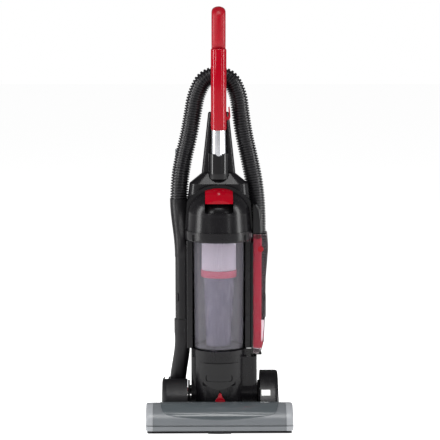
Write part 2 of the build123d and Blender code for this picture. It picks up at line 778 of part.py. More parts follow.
# ---------------------------------------------------------------- upper housing and tower
band = 6.5  # width of the arched band that frames the lid
housing_front = lid_back + gap
with BuildPart() as upper_housing:
    with BuildSketch(Plane.XZ.offset(-housing_front)):
        with BuildLine():
            Polyline(
                (-column_half, housing_z), (-91, housing_z + 6), (-91, 524), (-86, 594), (-82.5, 601),
            )
            ThreePointArc((-82.5, 601), (0, arch_z + arch_r), (82.5, 601))
            Polyline((82.5, 601), (86, 594), (91, 524), (91, housing_z + 6), (column_half, housing_z))
            Line((column_half, housing_z), (-column_half, housing_z))
        make_face()
    extrude(amount=-(body_rear - housing_front))
    fillet(upper_housing.edges().filter_by(lambda e: e.center().Y > body_rear - 1 and e.center().Z > 530
                                         and abs(e.center().X) > 80 and e.center().Z < 600), radius=40)
    # sloping shoulders behind the arch
    with BuildSketch(Plane.XY.offset(594)):
        with Locations((0, (26 + body_rear) / 2)):
            RectangleRounded(170, body_rear - 26, 30)
    with BuildSketch(Plane.XY.offset(642)):
        with Locations((0, (26 + body_rear) / 2)):
            RectangleRounded(158, body_rear - 26, 28)
    loft()
    with BuildSketch(Plane.XY.offset(642)):
        with Locations((0, (26 + body_rear) / 2)):
            RectangleRounded(158, body_rear - 26, 28)
    with BuildSketch(Plane.XY.offset(669)):
        with Locations((0, (46 + body_rear) / 2)):
            RectangleRounded(88, body_rear - 46, 14)
    loft()
    # recess for the bin, grooves for the hose cuff, seat for the tube socket
    with BuildSketch(Plane.XY.offset(housing_z)):
        with Locations((0, bin_y)):
            Circle(recess_r)
    extrude(amount=lid_ring_top + 26 - housing_z, mode=Mode.SUBTRACT)
    with Locations((0, 58, 575)):
        Box(120, 60, 90, mode=Mode.SUBTRACT)
    add(cuff_path(1.5), mode=Mode.SUBTRACT)
    with BuildSketch(Plane.XY.offset(cuff_top - 1)):
        with Locations((cuff_x, cuff_y)):
            Circle(hose_d / 2 + 2.5)
    extrude(amount=70, mode=Mode.SUBTRACT)
    with BuildSketch(Plane.XY.offset(socket_bottom)):
        with Locations((0, tube_y)):
            Circle(28.1)
    extrude(amount=40, mode=Mode.SUBTRACT)
save(upper_housing, "upper_housing")

with BuildPart() as tower:
    with BuildSketch(Plane.XY.offset(669.2)):
        with Locations((0, 80)):
            RectangleRounded(92, 34, 10)
    with BuildSketch(Plane.XY.offset(tower_top)):
        with Locations((0, 81)):
            RectangleRounded(56, 31, 10)
    loft()
    fillet(tower.faces().sort_by(Axis.Z)[-1].edges(), radius=5)
    with BuildSketch(Plane.XY.offset(669)):
        with Locations((0, 81)):
            RectangleRounded(44, 18, 6)
    extrude(amount=tower_top - 669 - 8, mode=Mode.SUBTRACT)
    with BuildSketch(Plane.XY.offset(660)):
        with Locations((0, tube_y)):
            Circle(28.1)
    extrude(amount=tower_top - 650, mode=Mode.SUBTRACT)
    # pocket of the power switch
    with Locations((0, body_rear, 745)):
        Box(16, 16, 27, mode=Mode.SUBTRACT)
save(tower, "tower")

with BuildPart() as power_switch:
    with BuildSketch(Plane.YZ):
        with BuildLine():
            Polyline(
                (body_rear - 5, 738), (body_rear + 1, 734), (body_rear + 2.5, 736), (body_rear + 0.5, 745),
                (body_rear + 2.5, 754), (body_rear + 1, 756), (body_rear - 5, 752), close=True,
            )
        make_face()
    extrude(amount=6.5, both=True)
save(power_switch, "power_switch")

with BuildPart() as tube_socket:
    with BuildSketch(Plane.XY.offset(socket_bottom)):
        with Locations((0, tube_y)):
            Circle(26.5)
    with BuildSketch(Plane.XY.offset(socket_bottom + 14)):
        with Locations((0, tube_y)):
            Circle(28)
    loft()
    with BuildSketch(Plane.XY.offset(socket_bottom + 14)):
        with Locations((0, tube_y)):
            Circle(28)
    extrude(amount=socket_top - socket_bottom - 14)
    # dip in the rim at the front
    with BuildSketch(Plane.XZ):
        with Locations((0, socket_top + 8)):
            Ellipse(17, 15)
    extrude(amount=80, both=True, mode=Mode.SUBTRACT)
    with BuildSketch(Plane.XY.offset(socket_bottom + 4)):
        with Locations((0, tube_y)):
            Circle(22.6)
    extrude(amount=100, mode=Mode.SUBTRACT)
save(tube_socket, "tube_socket")

# ---------------------------------------------------------------- handle
with BuildPart() as handle_tube:
    with BuildSketch(Plane.XY.offset(socket_bottom + 4)):
        with Locations((0, tube_y)):
            Circle(22.5)
    with BuildSketch(Plane.XY.offset(stem_bottom)):
        with Locations((0, tube_y)):
            Circle(tube_r)
    loft()
    with BuildSketch(Plane.XY.offset(stem_bottom)):
        with Locations((0, tube_y)):
            Circle(tube_r)
    extrude(amount=stem_top - stem_bottom - 12)
    with BuildSketch(Plane.XY.offset(socket_bottom)):
        with Locations((0, tube_y)):
            Circle(tube_r - 1.5)
    extrude(amount=stem_top - socket_bottom, mode=Mode.SUBTRACT)
save(handle_tube, "handle_tube")

with BuildPart() as handle_stem:
    with BuildSketch(Plane.XY.offset(stem_bottom)):
        with Locations((0, tube_y)):
            RectangleRounded(stem_width, 46, 14)
    extrude(amount=stem_top - stem_bottom)
    fillet(handle_stem.faces().sort_by(Axis.Z)[0].edges(), radius=5)
    with BuildSketch(Plane.XY.offset(stem_bottom - 1)):
        with Locations((0, tube_y)):
            Circle(tube_r)
    extrude(amount=stem_top - stem_bottom - 11, mode=Mode.SUBTRACT)
save(handle_stem, "handle_stem")

grip_front = tube_y - 22
with BuildPart() as handle_grip:
    with BuildSketch(Plane.YZ) as grip_side:
        with BuildLine():
            Polyline(
                (grip_front, stem_top + 0.2), (grip_front, handle_top), (122, handle_top - 6),
                (134, 1040), (104, 988), (tube_y + 23.2, 976), (tube_y + 23.2, stem_top + 0.2), close=True,
            )
        make_face()
        fillet(grip_side.vertices().filter_by(lambda v: v.Y > 1100), radius=24)
        fillet(grip_side.vertices().filter_by(lambda v: v.X > 100 and v.Y < 1045), radius=22)
        with BuildLine():
            Polyline(
                (grip_front + 29, 1022), (grip_front + 29, handle_top - 24), (102, handle_top - 29),
                (107, 1044), (90, 1014), close=True,
            )
        make_face(mode=Mode.SUBTRACT)
        hole_vertices = grip_side.vertices().filter_by(
            lambda v: grip_front + 20 < v.X < 110 and 1010 < v.Y < handle_top - 20)
        fillet(hole_vertices, radius=9)
    extrude(amount=grip_width / 2, both=True)
    fillet(handle_grip.faces().filter_by(Axis.X).edges(), radius=4)
save(handle_grip, "handle_grip")

# cord hook on the right of the stem, and the hose rest behind it
with BuildPart() as upper_cord_hook:
    with BuildSketch(Plane.XZ.offset(-tube_y - 6)):
        with BuildLine():
            Polyline(
                (stem_width / 2 + 0.05, 824), (stem_width / 2 + 0.05, 813), (30, 816), (32, 824), (29.5, 850),
                (26, 848), (27.5, 826), (26, 823), close=True,
            )
        make_face()
    extrude(amount=12)
save(upper_cord_hook, "upper_cord_hook")

hose_rest_z = 903.5
with BuildPart() as hose_rest:
    with BuildSketch(Plane.YZ):
        with BuildLine():
            Polyline(
                (tube_y + 23.2, 870), (tube_y + 23.2, hose_rest_z), (127, hose_rest_z), (131, 918),
                (136, 918),
                (133, hose_rest_z - 7), (100, hose_rest_z - 10), close=True,
            )
        make_face()
    extrude(amount=13, both=True)
    fillet(hose_rest.edges().filter_by(Axis.X).sort_by(Axis.Y)[-2:], radius=2)
save(hose_rest, "hose_rest")

# ---------------------------------------------------------------- back of the body
hook_z = 330.0
with BuildPart() as lower_cord_hook:
    with BuildSketch(Plane.XZ.offset(-body_rear - 0.4)):
        with Locations((0, hook_z)):
            Circle(15)
    extrude(amount=-5)
    with BuildSketch(Plane.XZ.offset(-body_rear - 5)):
        with Locations((0, hook_z)):
            Circle(9)
    extrude(amount=-22)
    with Locations((0, body_rear + 24.5, hook_z - 16)):
        Box(18, 5, 46)
    fillet(lower_cord_hook.edges().filter_by(Axis.Y).group_by(Axis.Z)[0], radius=6)
save(lower_cord_hook, "lower_cord_hook")

# ---------------------------------------------------------------- side filter
filter_mid = (filter_front + filter_rear) / 2
filter_deep = filter_rear - filter_front
with BuildPart() as filter_housing:
    with BuildSketch(Plane.XZ.offset(-filter_front)):
        with BuildLine():
            Polyline(
                (filter_x + 0.9, filter_top + 0.6), (filter_x + 0.9, 588), (104, 590), (111, 578),
                (115, 548), (117, filter_top + 0.6), close=True,
            )
        make_face()
    extrude(amount=-filter_deep)
    fillet(filter_housing.edges().filter_by(lambda e: e.center().X > 100 and e.center().Z > 520
                                            and abs(e.center().Y - filter_mid) > 20), radius=9)
    # backing plate on the column and the ledge under the cover
    frame_width = filter_x + 0.7 - column_half - 0.1
    with Locations((column_half + 0.1 + frame_width / 2, filter_mid, (filter_bottom - 4 + 486) / 2)):
        Box(frame_width, filter_deep - 8, 486 - filter_bottom + 4)
    with Locations((filter_x + 12, filter_mid, filter_bottom - 2.5)):
        Box(26, filter_deep - 12, 4)
save(filter_housing, "filter_housing")

with BuildPart() as filter_cartridge:
    with Locations((filter_x + 14, filter_mid, (214 + 496) / 2)):
        Box(24, filter_deep - 26, 496 - 214)
    fillet(filter_cartridge.edges().filter_by(Axis.Z), radius=4)
save(filter_cartridge, "filter_cartridge")


def cover_profile(inset):
    with BuildSketch() as profile:
        with BuildLine():
            Polyline(
                (filter_x + 1.2, filter_top), (filter_out - 1, filter_top), (filter_out + 1, 470), (127, 390),
                (126, 300), (123, 220), (117, 194), (108, filter_bottom), (filter_x + 1.2, filter_bottom),
                close=True,
            )
        make_face()
        if inset:
            offset(amount=-inset, kind=Kind.INTERSECTION)
    return profile.sketch


cover_wall = 2.0
with BuildPart() as filter_cover:
    with BuildSketch(Plane.XZ.offset(-filter_front)):
        add(cover_profile(0))
    extrude(amount=-filter_deep)
    fillet(filter_cover.faces().filter_by(Axis.Y).edges().filter_by(lambda e: e.center().X > 108), radius=8)
    with BuildSketch(Plane.XZ.offset(-filter_front - cover_wall)):
        add(cover_profile(cover_wall))
        with Locations((filter_x + 2, 350)):
            Rectangle(8, 324)
    extrude(amount=-(filter_deep - 2 * cover_wall), mode=Mode.SUBTRACT)
    # hole for the latch knob
    with BuildSketch(Plane.XZ.offset(-filter_front + 1)):
        with Locations((112, 470)):
            Circle(5 + run_gap)
    extrude(amount=-6, mode=Mode.SUBTRACT)
save(filter_cover, "filter_cover")

with BuildPart() as cover_knob:
    with BuildSketch(Plane.XZ.offset(-filter_front + 0.3)):
        with Locations((112, 470)):
            Circle(8)
    extrude(amount=4)
    fillet(cover_knob.faces().sort_by(Axis.Y)[0].edges(), radius=1.5)
    with BuildSketch(Plane.XZ.offset(-filter_front + 0.3)):
        with Locations((112, 470)):
            Circle(5)
    extrude(amount=-6)
    with Locations((112, filter_front - 4, 470)):
        Box(2.4, 2, 11, mode=Mode.SUBTRACT)
save(cover_knob, "cover_knob")

# ---------------------------------------------------------------- wand, cuff, collar and lower tube
with BuildPart() as wand:
    with BuildSketch(Plane.XY.offset(wand_bottom - 14)):
        with Locations((wand_x, wand_y)):
            Circle(wand_r)
            Circle(wand_r - 2.5, mode=Mode.SUBTRACT)
    extrude(amount=wand_top - wand_bottom + 14 - 0.2)
    button_dir = (-0.7071, -0.7071, 0)
    button_plane = Plane(origin=(wand_x, wand_y, 336), x_dir=(0, 0, 1), z_dir=button_dir)
    with BuildSketch(button_plane.offset(10)):
        SlotOverall(24, 10.6)
    extrude(amount=20, mode=Mode.SUBTRACT)
save(wand, "wand")

with BuildPart() as wand_button:
    with BuildSketch(button_plane.offset(wand_r - 2)):
        SlotOverall(23, 9.6)
    extrude(amount=4)
    fillet(wand_button.faces().sort_by(Axis((0, 0, 0), button_dir))[-1].edges(), radius=1.2)
save(wand_button, "wand_button")

with BuildPart() as hose_cuff:
    add(cuff_path(0))
    with BuildSketch(Plane.XY.offset(wand_top)):
        with Locations((wand_x, wand_y)):
            Circle(wand_r - 2.5)
    extrude(amount=30, mode=Mode.SUBTRACT)
save(hose_cuff, "hose_cuff")

clip_top = wand_bottom - 1
clip_bottom = 240.0
duct_r = 22.0
with BuildPart() as lower_tube:
    tube_sections = (
        (wand_x, wand_y, clip_bottom, duct_r),
        (wand_x - 1, wand_y + 2, 190, duct_r - 0.5),
        (wand_x - 7, wand_y + 10, 148, duct_r),
        (duct_x, pivot_y, pivot_z + swivel_r - 6, duct_r),
    )
    for inner in (0, 2.5):
        for x0, y0, z0, r0 in tube_sections:
            with BuildSketch(Plane.XY.offset(z0)):
                with Locations((x0, y0)):
                    Circle(r0 - inner)
        loft(mode=Mode.SUBTRACT if inner else Mode.ADD)
    with BuildSketch(pivot_line.offset(duct_x - 40)):
        Circle(swivel_r)
    extrude(amount=80, mode=Mode.SUBTRACT)
    # collar that the wand stands in, with a foot against the column
    with BuildSketch(Plane.XY.offset(clip_bottom)):
        with Locations((wand_x, wand_y)):
            Circle(wand_r + 3)
    extrude(amount=clip_top - clip_bottom)
    with BuildSketch(Plane.XY.offset(clip_bottom + 8)):
        with Locations((wand_x + wand_r - 0.5, wand_y)):
            Rectangle(7, 12)
    extrude(amount=20)
    with BuildSketch(Plane.XY.offset(clip_bottom - 1)):
        with Locations((wand_x, wand_y)):
            Circle(wand_r - 2.5)
    extrude(amount=60, mode=Mode.SUBTRACT)
    with BuildSketch(Plane.XY.offset(wand_bottom - 14)):
        with Locations((wand_x, wand_y)):
            Circle(wand_r + 0.1)
    extrude(amount=60, mode=Mode.SUBTRACT)
save(lower_tube, "lower_tube")

# swivel drum: turns in the end of the suction duct, so that the body can recline
with BuildPart() as swivel_drum:
    with BuildSketch(pivot_line.offset(duct_x - duct_w / 2 + 0.3)):
        Circle(swivel_r)
    extrude(amount=duct_w - 0.6)
    with BuildSketch(pivot_line.offset(duct_x - duct_w / 2 + 3)):
        Circle(swivel_r - 3)
    extrude(amount=duct_w - 6, mode=Mode.SUBTRACT)
    with BuildSketch(Plane.XY.offset(pivot_z)):
        with Locations((duct_x, pivot_y)):
            Circle(duct_r - 4)
    extrude(amount=40, mode=Mode.SUBTRACT)
    with BuildSketch(pivot_line.offset(duct_x - duct_w / 2 + 5)):
        with Locations((-swivel_r, -14)):
            Rectangle(34, 24)
    extrude(amount=duct_w - 10, mode=Mode.SUBTRACT)
save(swivel_drum, "swivel_drum")

# ---------------------------------------------------------------- hose and its fixed port
# the route runs from the cuff, up the left, over the rest behind the handle and down the right
hose_points = [
    (cuff_x, cuff_y, cuff_top + 0.2),
    (cuff_x, cuff_y, 640),
    (-97, 92, 702),
    (-81, 98, 766),
    (-71, 100, 822),
    (-61, 100, 882),
    (-34, 100, 931),
    (28, 100, 932),
    (54, 100, 884),
    (61, 100, 825),
    (70, 100, 768),
    (86, 99, 700),
    (100, 98, 630),
    (port_x + 1.4, port_y - 0.6, 545),
    (port_x, port_y, 437),
    (port_x, port_y, port_top),
]


def corner_radii(points):
    radii = []
    for before, here, after in zip(points, points[1:], points[2:]):
        run_in = Vector(*here) - Vector(*before)
        run_out = Vector(*after) - Vector(*here)
        turn = radians(run_in.get_angle(run_out))
        radii.append(0.45 * min(run_in.length, run_out.length) / tan(turn / 2))
    return radii


hose_radii = corner_radii(hose_points)
with BuildLine() as hose_line:
    FilletPolyline(*hose_points, radius=hose_radii)
with BuildPart() as hose:
    with BuildSketch(Plane(origin=hose_line.line @ 0, z_dir=hose_line.line % 0)):
        Circle(hose_d / 2)
    sweep(path=hose_line.line)
save(hose, "hose")
hose_length = hose_line.wires()[0].length
print("hose length", round(hose_length), "radii", [round(r) for r in hose_radii])
print("hose volume over section times length",
      round(hose.part.volume / (3.14159265 * (hose_d / 2) ** 2 * hose_length), 4))

with BuildPart() as hose_port:
    with BuildSketch(Plane.XY.offset(port_top - 70)):
        with Locations((port_x, port_y)):
            Circle(hose_d / 2 + 2)
    extrude(amount=69.8)
    fillet(hose_port.faces().sort_by(Axis.Z)[0].edges(), radius=10)
    with BuildSketch(Plane.XY.offset(port_top - 62)):
        with Locations((76, 84)):
            Rectangle(44, 30)
        with Locations((port_x, port_y)):
            Circle(hose_d / 2)
    extrude(amount=42)
    with BuildSketch(Plane.XY.offset(port_top - 64)):
        with Locations((0, (column_front + body_rear) / 2)):
            Rectangle(2 * column_half + 0.2, body_rear - column_front + 0.2)
        with Locations((column_half, body_rear)):
            Rectangle(70, 70, mode=Mode.SUBTRACT)
        with Locations((column_half - 35, body_rear - 35)):
            Circle(35.1)
    extrude(amount=60, mode=Mode.SUBTRACT)
    with BuildSketch(Plane.XY.offset(port_top - 50)):
        with Locations((port_x, port_y)):
            Circle(hose_d / 2 - 3)
    extrude(amount=60, mode=Mode.SUBTRACT)
save(hose_port, "hose_port")

with BuildPart() as crevice_tool:
    with BuildSketch(Plane.XY.offset(470)):
        with Locations((tool_x, tool_y)):
            RectangleRounded(14, 10, 4)
    with BuildSketch(Plane.XY.offset(690)):
        with Locations((tool_x, tool_y)):
            RectangleRounded(20, 17, 7)
    loft()
    with BuildSketch(Plane.XY.offset(690)):
        with Locations((tool_x, tool_y)):
            RectangleRounded(21, 19, 8)
    extrude(amount=38)
    with BuildSketch(Plane.XY.offset(640)):
        with Locations((tool_x, tool_y)):
            RectangleRounded(14, 11, 5)
    extrude(amount=100, mode=Mode.SUBTRACT)
save(crevice_tool, "crevice_tool")

# ================================================================ dust bin
bin_wall = 2.4
with BuildPart() as bin_shell:
    with BuildSketch(Plane.XY.offset(bin_bottom + 1.2)):
        with Locations((0, bin_y)):
            Circle(bin_r - 2.5)
    with BuildSketch(Plane.XY.offset(bin_top)):
        with Locations((0, bin_y)):
            Circle(bin_r)
    loft()
    with BuildSketch(Plane.XY.offset(bin_bottom + 1.2 + bin_wall)):
        with Locations((0, bin_y)):
            Circle(bin_r - 2.5 - bin_wall)
    with BuildSketch(Plane.XY.offset(bin_top)):
        with Locations((0, bin_y)):
            Circle(bin_r - bin_wall)
    loft(mode=Mode.SUBTRACT)
    with BuildSketch(Plane.XY.offset(bin_bottom)):
        with Locations((0, bin_y)):
            Circle(14)
    extrude(amount=20, mode=Mode.SUBTRACT)
save(bin_shell, "bin_shell")

with BuildPart() as bin_seal:
    with BuildSketch(Plane.XY.offset(bin_bottom - 1.2)):
        with Locations((0, bin_y)):
            Circle(30)
            Circle(18, mode=Mode.SUBTRACT)
    extrude(amount=2.4)
save(bin_seal, "bin_seal")

filter_r = bin_r - 22.5
pleat_bottom = 412.0
with BuildPart() as pleated_filter:
    with BuildSketch(Plane.XY.offset(pleat_bottom)):
        with Locations((0, bin_y)):
            Circle(filter_r)
            Circle(filter_r - 12, mode=Mode.SUBTRACT)
    extrude(amount=lid_ring_top - pleat_bottom)
save(pleated_filter, "pleated_filter")

with BuildPart() as filter_ring:
    with BuildSketch(Plane.XY.offset(pleat_bottom - 19)):
        with Locations((0, bin_y)):
            Circle(filter_r + 2)
            Circle(filter_r - 14, mode=Mode.SUBTRACT)
    extrude(amount=19)
    fillet(filter_ring.edges().filter_by(GeomType.CIRCLE).sort_by(SortBy.RADIUS)[-2:], radius=2)
save(filter_ring, "filter_ring")

with BuildPart() as cyclone_cone:
    with BuildSketch(Plane.XY.offset(bin_bottom + 6)):
        with Locations((0, bin_y)):
            Circle(filter_r - 12.5)
    with BuildSketch(Plane.XY.offset(pleat_bottom - 19)):
        with Locations((0, bin_y)):
            Circle(filter_r - 4.5)
    loft()
    with BuildSketch(Plane.XY.offset(bin_bottom)):
        with Locations((0, bin_y)):
            Circle(filter_r - 16.5)
    extrude(amount=pleat_bottom - 19 - bin_bottom, mode=Mode.SUBTRACT)
save(cyclone_cone, "cyclone_cone")

# ring under the lid: round at the back, wider in front
with BuildPart() as lid_ring:
    with BuildSketch(Plane.XY.offset(bin_top + 0.1)):
        with Locations((0, bin_y)):
            Circle(lid_r + 0.8)
        with Locations((0, lid_back + 100)):
            Rectangle(300, 200, mode=Mode.SUBTRACT)
        with Locations((0, bin_y)):
            Circle(recess_r - 0.7)
            Circle(filter_r + 12, mode=Mode.SUBTRACT)
    extrude(amount=lid_ring_top - bin_top - 0.1)
    fillet(lid_ring.faces().sort_by(Axis.Z)[0].outer_wire().edges().filter_by(
        lambda e: e.center().Y < 0), radius=6)
    for sign in (-1, 1):
        with Locations((sign * 69, bin_y - (lid_r ** 2 - 69 ** 2) ** 0.5 - 4, bin_top + 12)):
            Box(6, 20, 17, mode=Mode.SUBTRACT)
save(lid_ring, "lid_ring")

dome_rise = 68.0  # height of the domed top above the crease of the lid
pocket_drop = 17.0  # depth of the finger pocket below the dome
pocket_front = -69.0
pocket_floor = lid_crease_z + 9.0
button_half = 37.0
button_front = -54.0
button_low = lid_crease_z + 34.0
button_proud = 2.0
button_thick = 9.0


# outside of the lid as a turned form, cut flat at the back; drop makes it smaller all round
def lid_dome(drop):
    foot_z = lid_ring_top + 0.2
    with BuildPart() as form:
        with BuildSketch(Plane.XZ.offset(-bin_y)):
            with BuildLine():
                Polyline(
                    (0, lid_crease_z + dome_rise - drop), (0, foot_z),
                    (lid_r - 3 - drop, foot_z), (lid_top_r - drop, lid_crease_z),
                )
                EllipticalCenterArc(
                    (0, lid_crease_z), lid_top_r - drop, dome_rise - drop, start_angle=0, arc_size=90,
                )
            make_face()
        revolve(axis=Axis((0, bin_y, 0), (0, 0, 1)))
        with Locations((0, lid_back + 100, 600)):
            Box(300, 200, 300, mode=Mode.SUBTRACT)
    return form.part


with BuildPart() as lid:
    add(lid_dome(0))
    with BuildSketch(Plane.XY.offset(lid_ring_top + 0.2)):
        with Locations((0, bin_y)):
            Circle(filter_r + 10)
    extrude(amount=22)
    with BuildSketch(Plane.XY.offset(lid_ring_top + 0.2)):
        with Locations((0, bin_y)):
            Circle(filter_r + 6)
    extrude(amount=18, mode=Mode.SUBTRACT)
    with BuildPart(mode=Mode.PRIVATE) as pocket:
        with Locations((0, (pocket_front + lid_back + 1) / 2, pocket_floor + 40)):
            Box(2 * button_half + 2, lid_back + 1 - pocket_front, 80)
        add(lid_dome(pocket_drop), mode=Mode.SUBTRACT)
    add(pocket.part, mode=Mode.SUBTRACT)
save(lid, "lid")

with BuildPart() as latch_button:
    add(lid_dome(-button_proud))
    add(lid_dome(button_thick), mode=Mode.SUBTRACT)
    with Locations((0, (button_front + lid_back - 1) / 2, button_low + 40)):
        Box(2 * button_half, lid_back - 1 - button_front, 80, mode=Mode.INTERSECT)
save(latch_button, "latch_button")
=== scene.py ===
import bpy
import math
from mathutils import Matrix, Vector


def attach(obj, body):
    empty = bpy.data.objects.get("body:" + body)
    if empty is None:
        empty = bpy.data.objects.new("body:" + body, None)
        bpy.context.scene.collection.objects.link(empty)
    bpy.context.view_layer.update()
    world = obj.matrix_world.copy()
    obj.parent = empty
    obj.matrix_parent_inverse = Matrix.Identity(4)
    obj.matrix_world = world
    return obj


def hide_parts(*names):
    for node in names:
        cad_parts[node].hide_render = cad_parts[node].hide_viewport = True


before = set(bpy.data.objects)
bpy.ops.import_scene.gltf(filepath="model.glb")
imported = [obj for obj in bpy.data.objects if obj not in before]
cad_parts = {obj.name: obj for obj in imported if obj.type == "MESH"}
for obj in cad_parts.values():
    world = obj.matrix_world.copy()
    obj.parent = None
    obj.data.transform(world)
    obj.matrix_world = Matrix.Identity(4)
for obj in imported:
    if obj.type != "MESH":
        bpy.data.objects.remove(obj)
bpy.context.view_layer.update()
scene = bpy.context.scene
scene.view_settings.view_transform = "Standard"
print("frame loaded,", len(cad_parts), "nodes")


def clearSelection():
    if bpy.context.object and bpy.context.object.mode != "OBJECT":
        bpy.ops.object.mode_set(mode="OBJECT")
    bpy.ops.object.select_all(action="DESELECT")


def nameNew(name):
    piece = bpy.context.object
    piece.name = name
    piece.data.name = name
    return piece


def pickOnly(piece):
    clearSelection()
    piece.select_set(True)
    bpy.context.view_layer.objects.active = piece


def settle(piece):
    # the place goes into the mesh, so that the object sits at the origin
    pickOnly(piece)
    bpy.ops.object.transform_apply(location=True, rotation=True, scale=True)


def applyAll(piece):
    pickOnly(piece)
    for modifier in list(piece.modifiers):
        bpy.ops.object.modifier_apply(modifier=modifier.name)


def roundEdges(piece, width, segments=3, angle=35):
    bevel = piece.modifiers.new("roundEdges", "BEVEL")
    bevel.width = width
    bevel.segments = segments
    bevel.limit_method = "ANGLE"
    bevel.angle_limit = math.radians(angle)
    bevel.harden_normals = False
    applyAll(piece)


def smoothShade(piece, angle=35):
    pickOnly(piece)
    bpy.ops.object.shade_smooth_by_angle(angle=math.radians(angle))


def dress(piece, body, material, replaced=()):
    piece.data.materials.clear()
    piece.data.materials.append(material)
    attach(piece, body)
    if replaced:
        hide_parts(*replaced)


def stackRings(name, rings, sides):
    # rings: (height, radius) pairs along Z, drawn from the first circle by extrude and resize
    clearSelection()
    height, radius = rings[0]
    bpy.ops.mesh.primitive_circle_add(vertices=sides, radius=radius, location=(0, 0, height))
    piece = nameNew(name)
    settle(piece)
    bpy.ops.object.mode_set(mode="EDIT")
    bpy.ops.mesh.select_all(action="SELECT")
    for nextHeight, nextRadius in rings[1:]:
        bpy.ops.mesh.extrude_region_move(
            TRANSFORM_OT_translate={"value": (0, 0, nextHeight - height)})
        scale = nextRadius / radius
        bpy.ops.transform.resize(value=(scale, scale, 1), center_override=(0, 0, nextHeight))
        height, radius = nextHeight, nextRadius
    bpy.ops.mesh.select_all(action="SELECT")
    bpy.ops.mesh.normals_make_consistent(inside=False)
    bpy.ops.object.mode_set(mode="OBJECT")
    return piece


# long lens from a little to the left of the machine, nearly level with the handle
cameraPlan = {
    "place": (-0.060, -4.755, 1.130),
    "pitchDown": 6.98,
    "yaw": -0.76,
    "lens": 145.7,
}
bpy.ops.object.camera_add(
    location=cameraPlan["place"],
    rotation=(math.radians(90 - cameraPlan["pitchDown"]), 0, math.radians(cameraPlan["yaw"])))
camera = bpy.context.object
camera.data.lens = cameraPlan["lens"]
camera.data.sensor_width = 36
camera.data.clip_end = 30
scene.camera = camera
print("camera placed")


def hexToLinear(code):
    channels = [int(code[i:i + 2], 16) / 255 for i in (1, 3, 5)]
    linear = [c / 12.92 if c <= 0.04045 else ((c + 0.055) / 1.055) ** 2.4 for c in channels]
    return (*linear, 1.0)


def addNode(tree, kind, settings=(), links=()):
    # lower-case settings are the node's own, the rest are its sockets
    node = tree.nodes.new(kind)
    settings = dict(settings)
    for key, value in settings.items():
        if isinstance(key, str) and key[0].islower():
            setattr(node, key, value)
    for key, value in settings.items():
        if isinstance(key, int) or not key[0].islower():
            node.inputs[key].default_value = value
    for key, source in dict(links).items():
        tree.links.new(source, node.inputs[key])
    return node


def startMaterial(name):
    material = bpy.data.materials.new(name)
    material.use_nodes = True
    tree = material.node_tree
    tree.nodes.clear()
    output = addNode(tree, "ShaderNodeOutputMaterial")
    shader = addNode(tree, "ShaderNodeBsdfPrincipled")
    tree.links.new(shader.outputs["BSDF"], output.inputs["Surface"])
    place = addNode(tree, "ShaderNodeTexCoord")
    return material, tree, shader, place.outputs["Object"]


def perMetre(sizeMm):
    return 1000.0 / sizeMm


def mouldedFinish(name, look):
    # moulded plastic or rubber: two near tones, a handled sheen that varies, fine mould grain
    material, tree, shader, place = startMaterial(name)
    clouds = addNode(tree, "ShaderNodeTexNoise",
                     {"Scale": perMetre(look.get("cloudMm", 60)), "Detail": 3.0}, {"Vector": place})
    tones = addNode(tree, "ShaderNodeMix",
                    {"data_type": "RGBA", 6: hexToLinear(look["colour"]), 7: hexToLinear(look["secondTone"])},
                    {0: clouds.outputs["Fac"]})
    tree.links.new(tones.outputs[2], shader.inputs["Base Color"])
    stretched = addNode(tree, "ShaderNodeMapping",
                        {"Scale": (1.0, 1.0, 0.25)}, {"Vector": place})
    rubs = addNode(tree, "ShaderNodeTexNoise",
                   {"Scale": perMetre(14), "Detail": 5.0, "Roughness": 0.65},
                   {"Vector": stretched.outputs["Vector"]})
    spread = look.get("spread", 0.08)
    sheen = addNode(tree, "ShaderNodeMapRange",
                    {"From Min": 0.3, "From Max": 0.7, "To Min": look["roughness"] - spread,
                     "To Max": look["roughness"] + spread}, {"Value": rubs.outputs["Fac"]})
    tree.links.new(sheen.outputs["Result"], shader.inputs["Roughness"])
    grain = addNode(tree, "ShaderNodeTexNoise",
                    {"Scale": perMetre(look.get("grainMm", 1.2)), "Detail": 2.0}, {"Vector": place})
    relief = addNode(tree, "ShaderNodeBump",
                     {"Strength": look.get("grain", 0.15), "Distance": 0.0004},
                     {"Height": grain.outputs["Fac"]})
    tree.links.new(relief.outputs["Normal"], shader.inputs["Normal"])
    shader.inputs["IOR"].default_value = 1.5
    shader.inputs["Specular IOR Level"].default_value = look.get("gloss", 0.5)
    return material


def clearFinish(name, look):
    # clear moulding: light passes through a tinted wall, with a faint haze of handling
    material, tree, shader, place = startMaterial(name)
    clouds = addNode(tree, "ShaderNodeTexNoise",
                     {"Scale": perMetre(50), "Detail": 3.0}, {"Vector": place})
    tones = addNode(tree, "ShaderNodeMix",
                    {"data_type": "RGBA", 6: hexToLinear(look["colour"]), 7: hexToLinear(look["secondTone"])},
                    {0: clouds.outputs["Fac"]})
    tree.links.new(tones.outputs[2], shader.inputs["Base Color"])
    rubs = addNode(tree, "ShaderNodeTexNoise",
                   {"Scale": perMetre(9), "Detail": 5.0}, {"Vector": place})
    haze = addNode(tree, "ShaderNodeMapRange",
                   {"From Min": 0.3, "From Max": 0.7, "To Min": look["roughness"] * 0.6,
                    "To Max": look["roughness"] * 1.6}, {"Value": rubs.outputs["Fac"]})
    tree.links.new(haze.outputs["Result"], shader.inputs["Roughness"])
    shader.inputs["Transmission Weight"].default_value = look["clear"]
    shader.inputs["IOR"].default_value = look["ior"]
    return material


